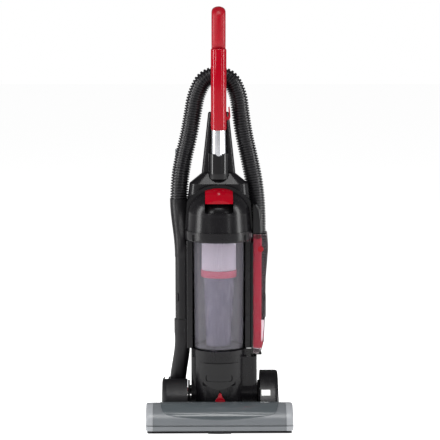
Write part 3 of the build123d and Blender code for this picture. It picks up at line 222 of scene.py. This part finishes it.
def metalFinish(name, look):
    # drawn or plated metal: fine marks along the piece change its gloss, not its colour
    material, tree, shader, place = startMaterial(name)
    drawn = addNode(tree, "ShaderNodeMapping", {"Scale": look["along"]}, {"Vector": place})
    marks = addNode(tree, "ShaderNodeTexNoise",
                    {"Scale": perMetre(look["markMm"]), "Detail": 6.0, "Roughness": 0.7},
                    {"Vector": drawn.outputs["Vector"]})
    gloss = addNode(tree, "ShaderNodeMapRange",
                    {"From Min": 0.3, "From Max": 0.7, "To Min": look["roughness"] * 0.7,
                     "To Max": look["roughness"] * 1.4}, {"Value": marks.outputs["Fac"]})
    tones = addNode(tree, "ShaderNodeMix",
                    {"data_type": "RGBA", 6: hexToLinear(look["colour"]), 7: hexToLinear(look["secondTone"])},
                    {0: marks.outputs["Fac"]})
    tree.links.new(tones.outputs[2], shader.inputs["Base Color"])
    tree.links.new(gloss.outputs["Result"], shader.inputs["Roughness"])
    relief = addNode(tree, "ShaderNodeBump", {"Strength": look.get("grain", 0.05), "Distance": 0.0002},
                     {"Height": marks.outputs["Fac"]})
    tree.links.new(relief.outputs["Normal"], shader.inputs["Normal"])
    shader.inputs["Metallic"].default_value = 1.0
    return material


def fibreFinish(name, look):
    # pressed fibre or open foam: matt, mottled, with a felted relief
    material, tree, shader, place = startMaterial(name)
    fibres = addNode(tree, "ShaderNodeTexVoronoi",
                     {"Scale": perMetre(look["fibreMm"]), "Randomness": 1.0}, {"Vector": place})
    # for the foam the first colour darkens the pore centres: painted shade inside the pores
    tones = addNode(tree, "ShaderNodeMix",
                    {"data_type": "RGBA", 6: hexToLinear(look["colour"]), 7: hexToLinear(look["secondTone"])},
                    {0: fibres.outputs["Distance"]})
    tree.links.new(tones.outputs[2], shader.inputs["Base Color"])
    relief = addNode(tree, "ShaderNodeBump", {"Strength": look.get("grain", 0.4), "Distance": 0.0006},
                     {"Height": fibres.outputs["Distance"]})
    tree.links.new(relief.outputs["Normal"], shader.inputs["Normal"])
    shader.inputs["Roughness"].default_value = look["roughness"]
    shader.inputs["Sheen Weight"].default_value = look.get("sheen", 0.0)
    return material


# moulded ABS, satin silver grey: a soft wide highlight over the nozzle
nozzleAbs = mouldedFinish("nozzleAbs", {"colour": "#595C5F", "secondTone": "#5D6063", "roughness": 0.33,
                                        "spread": 0.02, "gloss": 0.4, "grainMm": 1.0, "grain": 0.10})
# the same ABS painted a lighter grey: a painted highlight for the end caps, which catch the light
litCapAbs = mouldedFinish("litCapAbs", {"colour": "#828487", "secondTone": "#86888B", "roughness": 0.33,
                                  "spread": 0.02, "gloss": 0.4})
# moulded ABS, mid grey, glossier: the panel on top of the nozzle
panelAbs = mouldedFinish("panelAbs", {"colour": "#3E4346", "secondTone": "#42474A", "roughness": 0.24,
                                      "spread": 0.02,
                                      "grain": 0.05})
# moulded ABS, charcoal, semi gloss: long soft reflections down the body
bodyAbs = mouldedFinish("bodyAbs", {"colour": "#0C0B0D", "secondTone": "#121113", "roughness": 0.25,
                                    "gloss": 0.18,
                                    "spread": 0.05, "grain": 0.08})
# moulded ABS, charcoal, polished: sharper highlights on the lid and the side housing
glossAbs = mouldedFinish("glossAbs", {"colour": "#0A0A0B", "secondTone": "#0F0E10", "roughness": 0.15,
                                      "gloss": 0.22,
                                      "spread": 0.04, "grain": 0.04})
# moulded polypropylene, black, finely textured: dull, low contrast
blackPp = mouldedFinish("blackPp", {"colour": "#0C0B0D", "secondTone": "#121113", "roughness": 0.38,
                                    "gloss": 0.18,
                                    "grainMm": 1.4, "grain": 0.25})
# moulded ABS, red, polished: deep colour under a clear highlight
redAbs = mouldedFinish("redAbs", {"colour": "#7E0010", "secondTone": "#860214", "roughness": 0.13,
                                  "gloss": 0.22,
                                  "spread": 0.04, "grain": 0.03})
# soft-touch TPE over the grip, red: broad dull highlight
gripTpe = mouldedFinish("gripTpe", {"colour": "#7C0212", "secondTone": "#840616", "roughness": 0.36,
                                    "gloss": 0.20,
                                    "grainMm": 1.3, "grain": 0.3})
# smoke tinted clear polycarbonate: the bin shows what is in it, greyed
binPc = clearFinish("binPc", {"colour": "#D4D1DA", "secondTone": "#CBC8D1", "roughness": 0.03, "clear": 0.94,
                              "ior": 1.2})
# lightly smoked clear polycarbonate: the cover over the side filter
coverPc = clearFinish("coverPc", {"colour": "#E6DADF", "secondTone": "#DACED3", "roughness": 0.08,
                                  "clear": 1.0, "ior": 1.2})
# pleated filter paper: off-white, dull, slightly felted
filterPaper = fibreFinish("filterPaper", {"colour": "#FFFCFA", "secondTone": "#F2ECEE", "fibreMm": 1.6,
                                          "roughness": 0.85, "grain": 0.25, "sheen": 0.2})
# dyed filter paper in the side cartridge
redPaper = fibreFinish("redPaper", {"colour": "#C02C46", "secondTone": "#AC243C", "fibreMm": 1.6,
                                    "roughness": 0.8, "grain": 0.3})
# open-cell polyurethane foam: pores drawn at 2 mm, their dark centres painted shade inside the pores,
# over a real relief
poreFoam = fibreFinish("poreFoam", {"colour": "#101012", "secondTone": "#2C2C30", "fibreMm": 2.0,
                                    "roughness": 0.95, "grain": 0.9})
# moulded rubber, red: the ring under the filter
ringRubber = mouldedFinish("ringRubber", {"colour": "#E05A70", "secondTone": "#D24E64", "roughness": 0.5,
                                          "grain": 0.2})
# moulded rubber, black: tyres, belt and seals, nearly no highlight
tyreRubber = mouldedFinish("tyreRubber", {"colour": "#17171A", "secondTone": "#222225", "roughness": 0.72,
                                          "grainMm": 1.6, "grain": 0.4})
# flexible PVC, black: each rib carries a short soft highlight
hosePvc = mouldedFinish("hosePvc", {"colour": "#0D0C0F", "secondTone": "#131215", "roughness": 0.34,
                                    "gloss": 0.34,
                                    "spread": 0.07, "grainMm": 1.5, "grain": 0.12})
# polished steel tube: mirrors the pale room in vertical bands
tubeSteel = metalFinish("tubeSteel", {"colour": "#E9EAEE", "secondTone": "#DDDEE3", "roughness": 0.10,
                                      "markMm": 3.0, "along": (1.0, 1.0, 0.02), "grain": 0.0})
# zinc-plated steel: small pins, screws and the axle
zincSteel = metalFinish("zincSteel", {"colour": "#B4B4B2", "secondTone": "#9C9C9A", "roughness": 0.32,
                                      "markMm": 1.0, "along": (0.1, 1.0, 1.0)})
# sintered bronze: warm, dull bushes
sinteredBronze = metalFinish("sinteredBronze", {"colour": "#A98450", "secondTone": "#8F6E40",
                                                "roughness": 0.45,
                                                "markMm": 0.8, "along": (1.0, 1.0, 1.0), "grain": 0.3})
# powder-coated steel sheet: the sole, black with an orange-peel relief
coatedSteel = mouldedFinish("coatedSteel", {"colour": "#1E1E20", "secondTone": "#2C2C2E", "roughness": 0.38,
                                            "grainMm": 2.2, "grain": 0.5})
# nylon tufts: dark, streaked
tuftNylon = mouldedFinish("tuftNylon", {"colour": "#1A1A1C", "secondTone": "#343438", "roughness": 0.5,
                                        "cloudMm": 3, "grain": 0.5})
# frosted polystyrene, purple grey: the inner column of the bin
columnPs = mouldedFinish("columnPs", {"colour": "#625F6C", "secondTone": "#6C6976", "roughness": 0.26,
                                      "grain": 0.05})
# pale grey sheet on the back of the bin: painted light, standing in for the light seen through the bin
paintedLightSheetPs = mouldedFinish("paintedLightSheetPs", {"colour": "#6C6A76", "secondTone": "#767480", "roughness": 0.35,
                                    "grain": 0.05})
# printed paper label with a clear film, left blank
labelPaper = mouldedFinish("labelPaper", {"colour": "#F2F2F0", "secondTone": "#E6E6E4", "roughness": 0.4,
                                          "grain": 0.05})
nodeFinishes = {
    nozzleAbs: ["nozzle_hood"],
    litCapAbs: ["end_caps"],
    panelAbs: ["top_panel", "crevice_tool"],
    bodyAbs: ["lower_housing", "column", "upper_housing", "tower", "wheel_left",
              "wheel_right", "lid_ring", "lid"],
    columnPs: ["cyclone_cone"],
    glossAbs: ["filter_housing", "filter_door", "tube_socket"],
    blackPp: ["chassis", "left_hood", "suction_duct", "brush_core", "roller_left", "roller_right",
              "hose_rest", "wand", "hose_cuff", "lower_tube", "swivel_drum", "hose_port", "fan",
              "lower_cord_hook", "wand_button"],
    redAbs: ["handle_stem", "upper_cord_hook", "cover_knob", "power_switch", "recline_pedal",
             "latch_button"],
    gripTpe: ["handle_grip"],
    binPc: ["bin_shell"],
    coverPc: ["filter_cover"],
    filterPaper: ["pleated_filter"],
    redPaper: ["filter_cartridge"],
    poreFoam: ["foam_filter"],
    ringRubber: ["filter_ring"],
    tyreRubber: ["tyre_left", "tyre_right", "belt", "bin_seal"],
    hosePvc: ["hose"],
    tubeSteel: ["handle_tube"],
    zincSteel: ["rear_axle", "pins_and_screws", "pedal_spring", "motor_bearings", "motor_can",
                "motor_rotor"],
    sinteredBronze: ["head_bearings"],
    coatedSteel: ["sole_plate"],
    tuftNylon: ["brush_bristles"],
}
for finish, nodeNames in nodeFinishes.items():
    for nodeName in nodeNames:
        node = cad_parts[nodeName]
        node.data.materials.clear()
        node.data.materials.append(finish)
print("finishes given to the carried-over nodes")


# ribbed hose: one rib is drawn, repeated, and bent along the hose's own line
hosePlan = {
    "diameter": 0.049,
    "valley": 0.0205,      # radius in the grooves
    "crest": 0.0245,
    "pitch": 0.0071,
    "sides": 32,
    "length": 1.010,
    "route": [(-0.107, 0.076, 0.5982), (-0.107, 0.076, 0.640), (-0.097, 0.092, 0.702),
              (-0.081, 0.098, 0.766), (-0.071, 0.100, 0.822), (-0.061, 0.100, 0.882),
              (-0.034, 0.100, 0.931), (0.028, 0.100, 0.932), (0.054, 0.100, 0.884),
              (0.061, 0.100, 0.825), (0.070, 0.100, 0.768), (0.086, 0.099, 0.700),
              (0.100, 0.098, 0.630), (0.1064, 0.0974, 0.545), (0.105, 0.098, 0.437),
              (0.105, 0.098, 0.330)],
}
clearSelection()
lineData = bpy.data.curves.new("hoseLine", "CURVE")
lineData.dimensions = "3D"
lineData.resolution_u = 24
spline = lineData.splines.new("NURBS")
spline.points.add(len(hosePlan["route"]) - 1)
for point, place in zip(spline.points, hosePlan["route"]):
    point.co = (*place, 1.0)
spline.order_u = 3
spline.use_endpoint_u = True
hoseLine = bpy.data.objects.new("hoseLine", lineData)
scene.collection.objects.link(hoseLine)
bpy.context.view_layer.update()
lineMesh = bpy.data.meshes.new_from_object(hoseLine)
hosePath = [tuple(vertex.co) for vertex in lineMesh.vertices]
lineLength = sum((Vector(a) - Vector(b)).length for a, b in zip(hosePath, hosePath[1:]))
print("hose line", round(lineLength, 4), "m")

ribCount = round(lineLength / hosePlan["pitch"])
pitch = lineLength / ribCount
ribShape = [(0.0, "valley"), (0.22, "valley"), (0.38, "crest"), (0.84, "crest"), (1.0, "valley")]
hose = stackRings("ribbedHose", [(step * pitch, hosePlan[level]) for step, level in ribShape],
                  hosePlan["sides"])
repeat = hose.modifiers.new("repeatRib", "ARRAY")
repeat.count = ribCount
repeat.use_relative_offset = False
repeat.use_constant_offset = True
repeat.constant_offset_displace = (0, 0, pitch)
repeat.use_merge_vertices = True
repeat.merge_threshold = 0.0002
follow = hose.modifiers.new("followLine", "CURVE")
follow.object = hoseLine
follow.deform_axis = "POS_Z"
applyAll(hose)
pickOnly(hose)
bpy.ops.object.mode_set(mode="EDIT")
bpy.ops.mesh.select_all(action="SELECT")
bpy.ops.mesh.normals_make_consistent(inside=False)
bpy.ops.object.mode_set(mode="OBJECT")
smoothShade(hose, 60)
dress(hose, "body", hosePvc, ["hose"])
bpy.data.objects.remove(hoseLine)
bpy.data.meshes.remove(lineMesh)
print("hose made,", ribCount, "ribs")


def drawOutline(name, points):
    # one corner at a time, each pulled out of the last, then filled
    clearSelection()
    bpy.ops.mesh.primitive_plane_add(size=0.01, location=points[0])
    piece = nameNew(name)
    settle(piece)
    bpy.ops.object.mode_set(mode="EDIT")
    bpy.ops.mesh.select_all(action="SELECT")
    bpy.ops.mesh.merge(type="CENTER")
    for start, end in zip(points, points[1:]):
        step = [b - a for a, b in zip(start, end)]
        bpy.ops.mesh.extrude_region_move(TRANSFORM_OT_translate={"value": step})
    bpy.ops.mesh.select_all(action="SELECT")
    bpy.ops.mesh.edge_face_add()
    bpy.ops.object.mode_set(mode="OBJECT")
    return piece


def pullOut(piece, step, centre=None, scales=()):
    # pulls the outline along step; scales gives (further step, scale) pairs for a rounded end
    pickOnly(piece)
    bpy.ops.object.mode_set(mode="EDIT")
    bpy.ops.mesh.select_all(action="SELECT")
    bpy.ops.mesh.extrude_region_move(TRANSFORM_OT_translate={"value": step})
    for further, scale in scales:
        bpy.ops.mesh.extrude_region_move(TRANSFORM_OT_translate={"value": further})
        bpy.ops.transform.resize(value=(1, scale, scale), center_override=centre)
    bpy.ops.mesh.select_all(action="SELECT")
    bpy.ops.mesh.normals_make_consistent(inside=False)
    bpy.ops.object.mode_set(mode="OBJECT")


def combine(piece, tool, operation):
    cut = piece.modifiers.new(operation.lower(), "BOOLEAN")
    cut.operation = operation
    cut.object = tool
    cut.solver = "EXACT"
    applyAll(piece)
    bpy.data.objects.remove(tool)


def mmPoints(points, x=0.0):
    return [(x / 1000, y / 1000, z / 1000) for y, z in points]


def block(low, high):
    clearSelection()
    middle = [(a + b) / 2 for a, b in zip(low, high)]
    bpy.ops.mesh.primitive_cube_add(size=1, location=middle,
                                    scale=[b - a for a, b in zip(low, high)])
    piece = bpy.context.object
    settle(piece)
    return piece


# nozzle: its side outline in mm (y, z), pulled across the machine
nozzlePlan = {
    "half": 176.0,
    "outer": [(-167, 7.5), (-171, 9), (-171.8, 14), (-171.6, 20.5), (-168.2, 21.8),
              (-168.2, 23.4), (-171.3, 24.8), (-170.4, 31),
              (-168.5, 37), (-165, 43), (-160, 49), (-153, 55), (-145, 60), (-136, 64), (-126, 67.3),
              (-115, 69.3), (-103, 69.8), (-91, 68.4), (-81, 65), (-74, 60), (-70.6, 53),
              (-70, 44), (-70, 7.5)],
    "inner": [(-166, 4), (-166, 24), (-164.5, 35), (-157, 47), (-142, 58), (-124, 64), (-103, 66.5),
              (-84, 62.5), (-74, 54), (-73, 4)],
    "wall": 3,
    "beltWay": ((0.117, -0.085, 0.010), (0.143, -0.060, 0.057)),
    "ductWay": ((-0.135, -0.080, 0.011), (-0.089, -0.060, 0.049)),
    "capGap": 0.4,
    "capLong": 0.0080,
    "capEnd": [(0.0042, 0.995), (0.0032, 0.985), (0.0020, 0.965), (0.0010, 0.94)],
    "capMiddle": (0.190, -0.121, 0.040),
}
nozzle = drawOutline("nozzleShell", mmPoints(nozzlePlan["outer"], -nozzlePlan["half"]))
pullOut(nozzle, (2 * nozzlePlan["half"] / 1000, 0, 0))
roomHalf = nozzlePlan["half"] - nozzlePlan["wall"]
nozzleRoom = drawOutline("nozzleRoom", mmPoints(nozzlePlan["inner"], -roomHalf))
pullOut(nozzleRoom, (2 * roomHalf / 1000, 0, 0))
combine(nozzle, nozzleRoom, "DIFFERENCE")
combine(nozzle, block(*nozzlePlan["beltWay"]), "DIFFERENCE")
combine(nozzle, block(*nozzlePlan["ductWay"]), "DIFFERENCE")
smoothShade(nozzle, 40)
dress(nozzle, "floor_head", nozzleAbs, ["nozzle_hood"])
for side, sideName in ((-1, "Left"), (1, "Right")):
    joinLine = side * (nozzlePlan["half"] + nozzlePlan["capGap"])
    cap = drawOutline("endCap" + sideName, mmPoints(nozzlePlan["outer"], joinLine))
    middleX, middleY, middleZ = nozzlePlan["capMiddle"]
    pullOut(cap, (side * nozzlePlan["capLong"], 0, 0), (side * middleX, middleY, middleZ),
            [((side * further, 0, 0), scale) for further, scale in nozzlePlan["capEnd"]])
    smoothShade(cap, 50)
    dress(cap, "floor_head", litCapAbs, ["end_caps"] if side == 1 else [])

# boat-shaped panel: the nozzle's own outline, a little larger, kept inside the boat
panelPlan = {
    "proud": 1.2,
    "half": 160,
    "boat": [(-157, -78), (-157, -110), (-154.5, -135), (-150.5, -150), (-145, -156.5), (-136, -160),
             (-118, -162.8), (-98, -164.6), (-77, -166), (-50, -167.4), (-25, -168.2), (0, -168.5)],
    "boatLow": 0.030, "boatTall": 0.060,
    "underHalf": 165, "underGap": (0.02, 0.05),
}
skin = [(y - panelPlan["proud"] if y < -120 else y, z + panelPlan["proud"] if z > 30 else z)
        for y, z in nozzlePlan["outer"]]
panel = drawOutline("coverPanel", mmPoints(skin, -panelPlan["half"]))
pullOut(panel, (2 * panelPlan["half"] / 1000, 0, 0))
rightHalf = [(-x, y) for x, y in reversed(panelPlan["boat"][:-1])]
boat = drawOutline("boatPlan", [(x / 1000, y / 1000, panelPlan["boatLow"])
                                for x, y in panelPlan["boat"] + rightHalf])
pullOut(boat, (0, 0, panelPlan["boatTall"]))
combine(panel, boat, "INTERSECT")
gapY, gapZ = panelPlan["underGap"]
under = drawOutline("panelUnder", mmPoints([(y + gapY, z + gapZ if z > 30 else z)
                                            for y, z in nozzlePlan["outer"]], -panelPlan["underHalf"]))
pullOut(under, (2 * panelPlan["underHalf"] / 1000, 0, 0))
combine(panel, under, "DIFFERENCE")
roundEdges(panel, 0.0004, 2, 50)
smoothShade(panel, 40)
dress(panel, "floor_head", panelAbs, ["top_panel"])
print("nozzle made")


# hoods behind the nozzle: outlines in mm (y, z), their outer ends rounded over
hoodPlan = {
    "leftOuter": [(-69.4, 9.6), (-69.4, 58), (-66, 70), (-56, 85), (-44, 97), (-33, 107),
                  (-24, 113.5), (-15, 116.6), (0, 116.4), (22, 114.5), (36, 112.4), (46, 108.5),
                  (60, 97), (70, 88), (75, 81), (76, 72), (76, 9.6)],
    "leftInner": [(-66.4, 0), (-66.4, 56), (-62, 69), (-52, 84), (-40, 97), (-28, 107),
                  (-15, 112.6), (-12, 130), (100, 130), (100, 0)],
    "leftX": (-85.0, -154.0),
    "leftMiddle": (0.006, 0.0096),
    "leftRoomLong": 0.100,
    "ductWay": ((-0.1355, -0.080, 0.009), (-0.0885, -0.060, 0.059)),
    "rightCentre": (36, 76), "rightRadius": 53.6, "rightX": (111.6, 161.0),
    "rightMiddle": (0.020, 0.060),
    "rightOutside": {"front": -69.3, "frontTop": 61.2, "foot": 9.6},
    "rightInside": {"front": -66.3, "frontTop": 58, "foot": 2},
    "wall": 3.0,
    "endWall": 7.0,
    "openSide": 5.0,
    "wheelRoom": {"radius": 0.049, "depth": 0.080, "location": (0.102, 0.126, 0.046)},
    "beltWay": ((0.118, -0.080, 0.021), (0.142, -0.058, 0.060)),
    "ends": [(0.10, 0.996), (0.065, 0.985), (0.04, 0.968), (0.018, 0.95)],
}


def pullHood(name, outline, xStart, xEnd, centre):
    hood = drawOutline(name, mmPoints(outline, xStart))
    long = (xEnd - xStart) / 1000
    flat = 1 - sum(share for share, scale in hoodPlan["ends"])
    pullOut(hood, (long * flat, 0, 0), (xEnd / 1000, *centre),
            [((long * share, 0, 0), scale) for share, scale in hoodPlan["ends"]])
    return hood


xIn, xOut = hoodPlan["leftX"]
leftHood = pullHood("leftHood", hoodPlan["leftOuter"], xIn, xOut, hoodPlan["leftMiddle"])
leftRoom = drawOutline("leftRoom", mmPoints(hoodPlan["leftInner"], xOut + hoodPlan["endWall"]))
pullOut(leftRoom, (hoodPlan["leftRoomLong"], 0, 0))
combine(leftHood, leftRoom, "DIFFERENCE")
combine(leftHood, block(*hoodPlan["ductWay"]), "DIFFERENCE")
smoothShade(leftHood, 40)
dress(leftHood, "floor_head", blackPp, ["left_hood"])

yMid, zMid = hoodPlan["rightCentre"]


def fender(radius, front, frontTop, foot):
    # front wall, then the tangent up to the round belt cover and over to the back
    points = [(front, foot), (front, frontTop - 6), (front + 1.5, frontTop - 1)]
    for degrees in range(132, -64, -7):
        angle = math.radians(degrees)
        y, z = yMid + radius * math.cos(angle), zMid + radius * math.sin(angle)
        if z > foot:
            points.append((y, z))
    return points + [(points[-1][0] - 2, foot)]


xIn, xOut = hoodPlan["rightX"]
rightHood = pullHood("rightHood", fender(hoodPlan["rightRadius"], **hoodPlan["rightOutside"]),
                     xIn, xOut, hoodPlan["rightMiddle"])
insideOutline = fender(hoodPlan["rightRadius"] - hoodPlan["wall"], **hoodPlan["rightInside"])
rightRoom = drawOutline("rightRoom", mmPoints(insideOutline, xIn - hoodPlan["openSide"]))
pullOut(rightRoom, ((xOut - xIn + hoodPlan["openSide"] - hoodPlan["endWall"]) / 1000, 0, 0))
combine(rightHood, rightRoom, "DIFFERENCE")
clearSelection()
bpy.ops.mesh.primitive_cylinder_add(vertices=64, rotation=(0, math.pi / 2, 0), **hoodPlan["wheelRoom"])
wheelRoom = bpy.context.object
settle(wheelRoom)
combine(rightHood, wheelRoom, "DIFFERENCE")
combine(rightHood, block(*hoodPlan["beltWay"]), "DIFFERENCE")
smoothShade(rightHood, 40)
dress(rightHood, "floor_head", bodyAbs, ["right_hood"])

# blank paper label on the slope of the right hood, and a plain red pointer on the nozzle's rear edge
badgePlan = {
    "labelAt": (0.1265, -0.0407, 0.0829), "labelSize": (0.0235, 0.0195, 0.0005), "labelTilt": 39.3,
    "pointer": [(-0.0135, 0.0655), (-0.0125, 0.0700), (-0.0060, 0.0780), (-0.0035, 0.0865),
                (0.0, 0.0895), (0.0035, 0.0865), (0.0060, 0.0780), (0.0125, 0.0700),
                (0.0135, 0.0655)],
    "pointerX": 0.0025, "pointerY": -0.0755, "pointerThick": 0.0032,
}
label = block([-value / 2 for value in badgePlan["labelSize"]],
              [value / 2 for value in badgePlan["labelSize"]])
label.name = "blankLabel"
label.rotation_euler = (math.radians(badgePlan["labelTilt"]), 0, 0)
label.location = badgePlan["labelAt"]
settle(label)
roundEdges(label, 0.0002, 2)
dress(label, "floor_head", labelPaper)
pointer = drawOutline("redPointer", [(x + badgePlan["pointerX"], badgePlan["pointerY"], z)
                                     for x, z in badgePlan["pointer"]])
pullOut(pointer, (0, badgePlan["pointerThick"], 0))
roundEdges(pointer, 0.0009, 3, 50)
smoothShade(pointer, 50)
dress(pointer, "floor_head", redAbs)
print("hoods made")


# handle: square stem with round uprights, and a flattened loop for the hand, in mm (y, z)
handlePlan = {
    "stemLow": (-0.021, 0.027, 0.786), "stemHigh": (0.021, 0.073, 1.0058), "stemRound": 0.0185,
    "gripLoop": [(43, 1018), (42, 1050), (42, 1084), (44.5, 1097), (53, 1104), (68, 1105.6),
                 (88, 1104.6), (105, 1099), (114.5, 1086), (118.5, 1060), (118.5, 1036),
                 (110, 1015), (97, 999.5), (82, 992.5), (62, 996)],
    "gripRadius": 0.0132, "gripHalf": 0.0188,
}
stem = block(handlePlan["stemLow"], handlePlan["stemHigh"])
stem.name = "handleStem"
uprights = stem.modifiers.new("roundUprights", "BEVEL")
uprights.width = handlePlan["stemRound"]
uprights.segments = 10
uprights.limit_method = "WEIGHT"
weights = stem.data.attributes.new("bevel_weight_edge", "FLOAT", "EDGE")
for edge in stem.data.edges:
    ends = [stem.data.vertices[index].co for index in edge.vertices]
    weights.data[edge.index].value = 1.0 if abs(ends[0].z - ends[1].z) > 0.1 else 0.0
applyAll(stem)
roundEdges(stem, 0.004, 4, 60)
smoothShade(stem, 40)
dress(stem, "body", redAbs, ["handle_stem"])
loopData = bpy.data.curves.new("gripLoop", "CURVE")
loopData.dimensions = "3D"
loopData.resolution_u = 10
loop = loopData.splines.new("NURBS")
loop.points.add(len(handlePlan["gripLoop"]) - 1)
for point, (y, z) in zip(loop.points, handlePlan["gripLoop"]):
    point.co = (0, y / 1000, z / 1000, 1)
loop.order_u = 3
loop.use_cyclic_u = True
loopData.bevel_depth = handlePlan["gripRadius"]
loopData.bevel_resolution = 8
grip = bpy.data.objects.new("handleGrip", loopData)
scene.collection.objects.link(grip)
pickOnly(grip)
bpy.ops.object.convert(target="MESH")
bpy.ops.transform.resize(value=(handlePlan["gripHalf"] / handlePlan["gripRadius"], 1, 1))
settle(grip)
smoothShade(grip, 60)
dress(grip, "body", gripTpe, ["handle_grip"])
print("handle made")


# pleated filter: every second corner of a ring is pulled in, then the ring is drawn up
pleatPlan = {"count": 64, "outer": 0.0465, "inner": 0.0425, "low": 0.412, "high": 0.520, "y": 0.014}
clearSelection()
bpy.ops.mesh.primitive_circle_add(vertices=2 * pleatPlan["count"], radius=pleatPlan["outer"],
                                  location=(0, pleatPlan["y"], pleatPlan["low"]))
pleats = nameNew("filterPleats")
settle(pleats)
for vertex in pleats.data.vertices:
    vertex.select = vertex.index % 2 == 0
for edge in pleats.data.edges:
    edge.select = False
bpy.ops.object.mode_set(mode="EDIT")
bpy.ops.mesh.select_mode(type="VERT")
shrink = pleatPlan["inner"] / pleatPlan["outer"]
bpy.ops.transform.resize(value=(shrink, shrink, 1),
                         center_override=(0, pleatPlan["y"], pleatPlan["low"]))
bpy.ops.mesh.select_all(action="SELECT")
bpy.ops.mesh.edge_face_add()
bpy.ops.mesh.select_all(action="SELECT")
bpy.ops.mesh.extrude_region_move(
    TRANSFORM_OT_translate={"value": (0, 0, pleatPlan["high"] - pleatPlan["low"])})
bpy.ops.mesh.select_all(action="SELECT")
bpy.ops.mesh.normals_make_consistent(inside=False)
bpy.ops.object.mode_set(mode="OBJECT")
dress(pleats, "dust_bin", filterPaper, ["pleated_filter"])

# pale sheet: a half shell behind the column, its pale grey a painted light that makes the bin read as
# pale smoke
paintedLightSheetPlan = {"radius": 0.0648, "y": 0.014, "low": 0.207, "high": 0.492, "thick": 0.0008,
             "frontEdge": 0.018}
clearSelection()
bpy.ops.mesh.primitive_cylinder_add(vertices=96, radius=paintedLightSheetPlan["radius"], end_fill_type="NOTHING",
                                    depth=paintedLightSheetPlan["high"] - paintedLightSheetPlan["low"],
                                    location=(0, paintedLightSheetPlan["y"],
                                              (paintedLightSheetPlan["high"] + paintedLightSheetPlan["low"]) / 2))
paintedLightSheet = nameNew("binPaintedLightSheet")
settle(paintedLightSheet)
bpy.ops.object.mode_set(mode="EDIT")
bpy.ops.mesh.select_all(action="SELECT")
bpy.ops.mesh.bisect(plane_co=(0, paintedLightSheetPlan["frontEdge"], 0), plane_no=(0, 1, 0), clear_inner=True)
bpy.ops.object.mode_set(mode="OBJECT")
wallOfSheet = paintedLightSheet.modifiers.new("thicken", "SOLIDIFY")
wallOfSheet.thickness = paintedLightSheetPlan["thick"]
applyAll(paintedLightSheet)
smoothShade(paintedLightSheet, 40)
dress(paintedLightSheet, "dust_bin", paintedLightSheetPs)

# side cartridge: a folded outline in mm seen from above, drawn up
cartridgePlan = {"inside": 93.6, "valley": 111.0, "ridge": 115.4, "front": 5.0, "back": 49.0,
                 "folds": 11, "low": 197.0, "high": 496.0}
width = (cartridgePlan["back"] - cartridgePlan["front"]) / cartridgePlan["folds"]
zigzag = [(cartridgePlan["inside"], cartridgePlan["front"])]
for fold in range(cartridgePlan["folds"]):
    start = cartridgePlan["front"] + fold * width
    zigzag += [(cartridgePlan["valley"], start), (cartridgePlan["ridge"], start + width / 2)]
zigzag += [(cartridgePlan["valley"], cartridgePlan["back"]),
           (cartridgePlan["inside"], cartridgePlan["back"])]
cartridge = drawOutline("redCartridge", [(x / 1000, y / 1000, cartridgePlan["low"] / 1000)
                                         for x, y in zigzag])
pullOut(cartridge, (0, 0, (cartridgePlan["high"] - cartridgePlan["low"]) / 1000))
dress(cartridge, "body", redPaper, ["filter_cartridge"])
print("filters made")


# pale floor that glows a little, so that it reads white under soft lamps
stagePlan = {"floorSize": 40.0, "floorColour": "#F0F0F0", "floorGlow": 0.84, "seen": 1.0,
             "roomLight": 0.16}
clearSelection()
bpy.ops.mesh.primitive_plane_add(size=stagePlan["floorSize"], location=(0, 0, 0))
floor = nameNew("studioFloor")
floorParts = startMaterial("paleFloor")
paleFloor, floorShader = floorParts[0], floorParts[2]
floorShader.inputs["Base Color"].default_value = hexToLinear(stagePlan["floorColour"])
floorShader.inputs["Roughness"].default_value = 0.9
floorShader.inputs["Specular IOR Level"].default_value = 0.1
floorShader.inputs["Emission Color"].default_value = (1, 1, 1, 1)
floorShader.inputs["Emission Strength"].default_value = stagePlan["floorGlow"]
floor.data.materials.append(paleFloor)

# the camera sees a white room, while the machine is lit by a dimmer one, so black stays black
world = scene.world or bpy.data.worlds.new("studioWorld")
scene.world = world
world.use_nodes = True
room = world.node_tree
room.nodes.clear()
ray = addNode(room, "ShaderNodeLightPath")
power = addNode(room, "ShaderNodeMapRange",
                {"To Min": stagePlan["roomLight"], "To Max": stagePlan["seen"]},
                {"Value": ray.outputs["Is Camera Ray"]})
sky = addNode(room, "ShaderNodeBackground", {"Color": (1, 1, 1, 1)},
              {"Strength": power.outputs["Result"]})
addNode(room, "ShaderNodeOutputWorld", {}, {"Surface": sky.outputs[0]})

lampPlan = [
    # name, place, aimed at, width, height, watts
    ("keyLamp", (-1.9, -2.6, 1.9), (0, 0, 0.5), 0.40, 1.6, 32),
    ("fillLamp", (1.9, -2.6, 1.3), (0, 0, 0.5), 0.30, 1.6, 12),
    ("topLamp", (0.0, -1.2, 2.8), (0, 0, 0.2), 1.4, 0.8, 44),
    ("leftStrip", (-2.1, -0.5, 1.1), (0, 0, 0.55), 0.50, 2.0, 52),
    ("rightStrip", (2.1, -0.5, 1.1), (0, 0, 0.55), 0.50, 2.0, 46),
]
for lampName, lampPlace, aim, width, height, watts in lampPlan:
    bpy.ops.object.light_add(type="AREA", location=lampPlace)
    lamp = bpy.context.object
    lamp.name = lampName
    lamp.data.shape = "RECTANGLE"
    lamp.data.size = width
    lamp.data.size_y = height
    lamp.data.energy = watts
    lamp.rotation_euler = (Vector(aim) - Vector(lampPlace)).to_track_quat("-Z", "Y").to_euler()
print("floor and lamps placed")
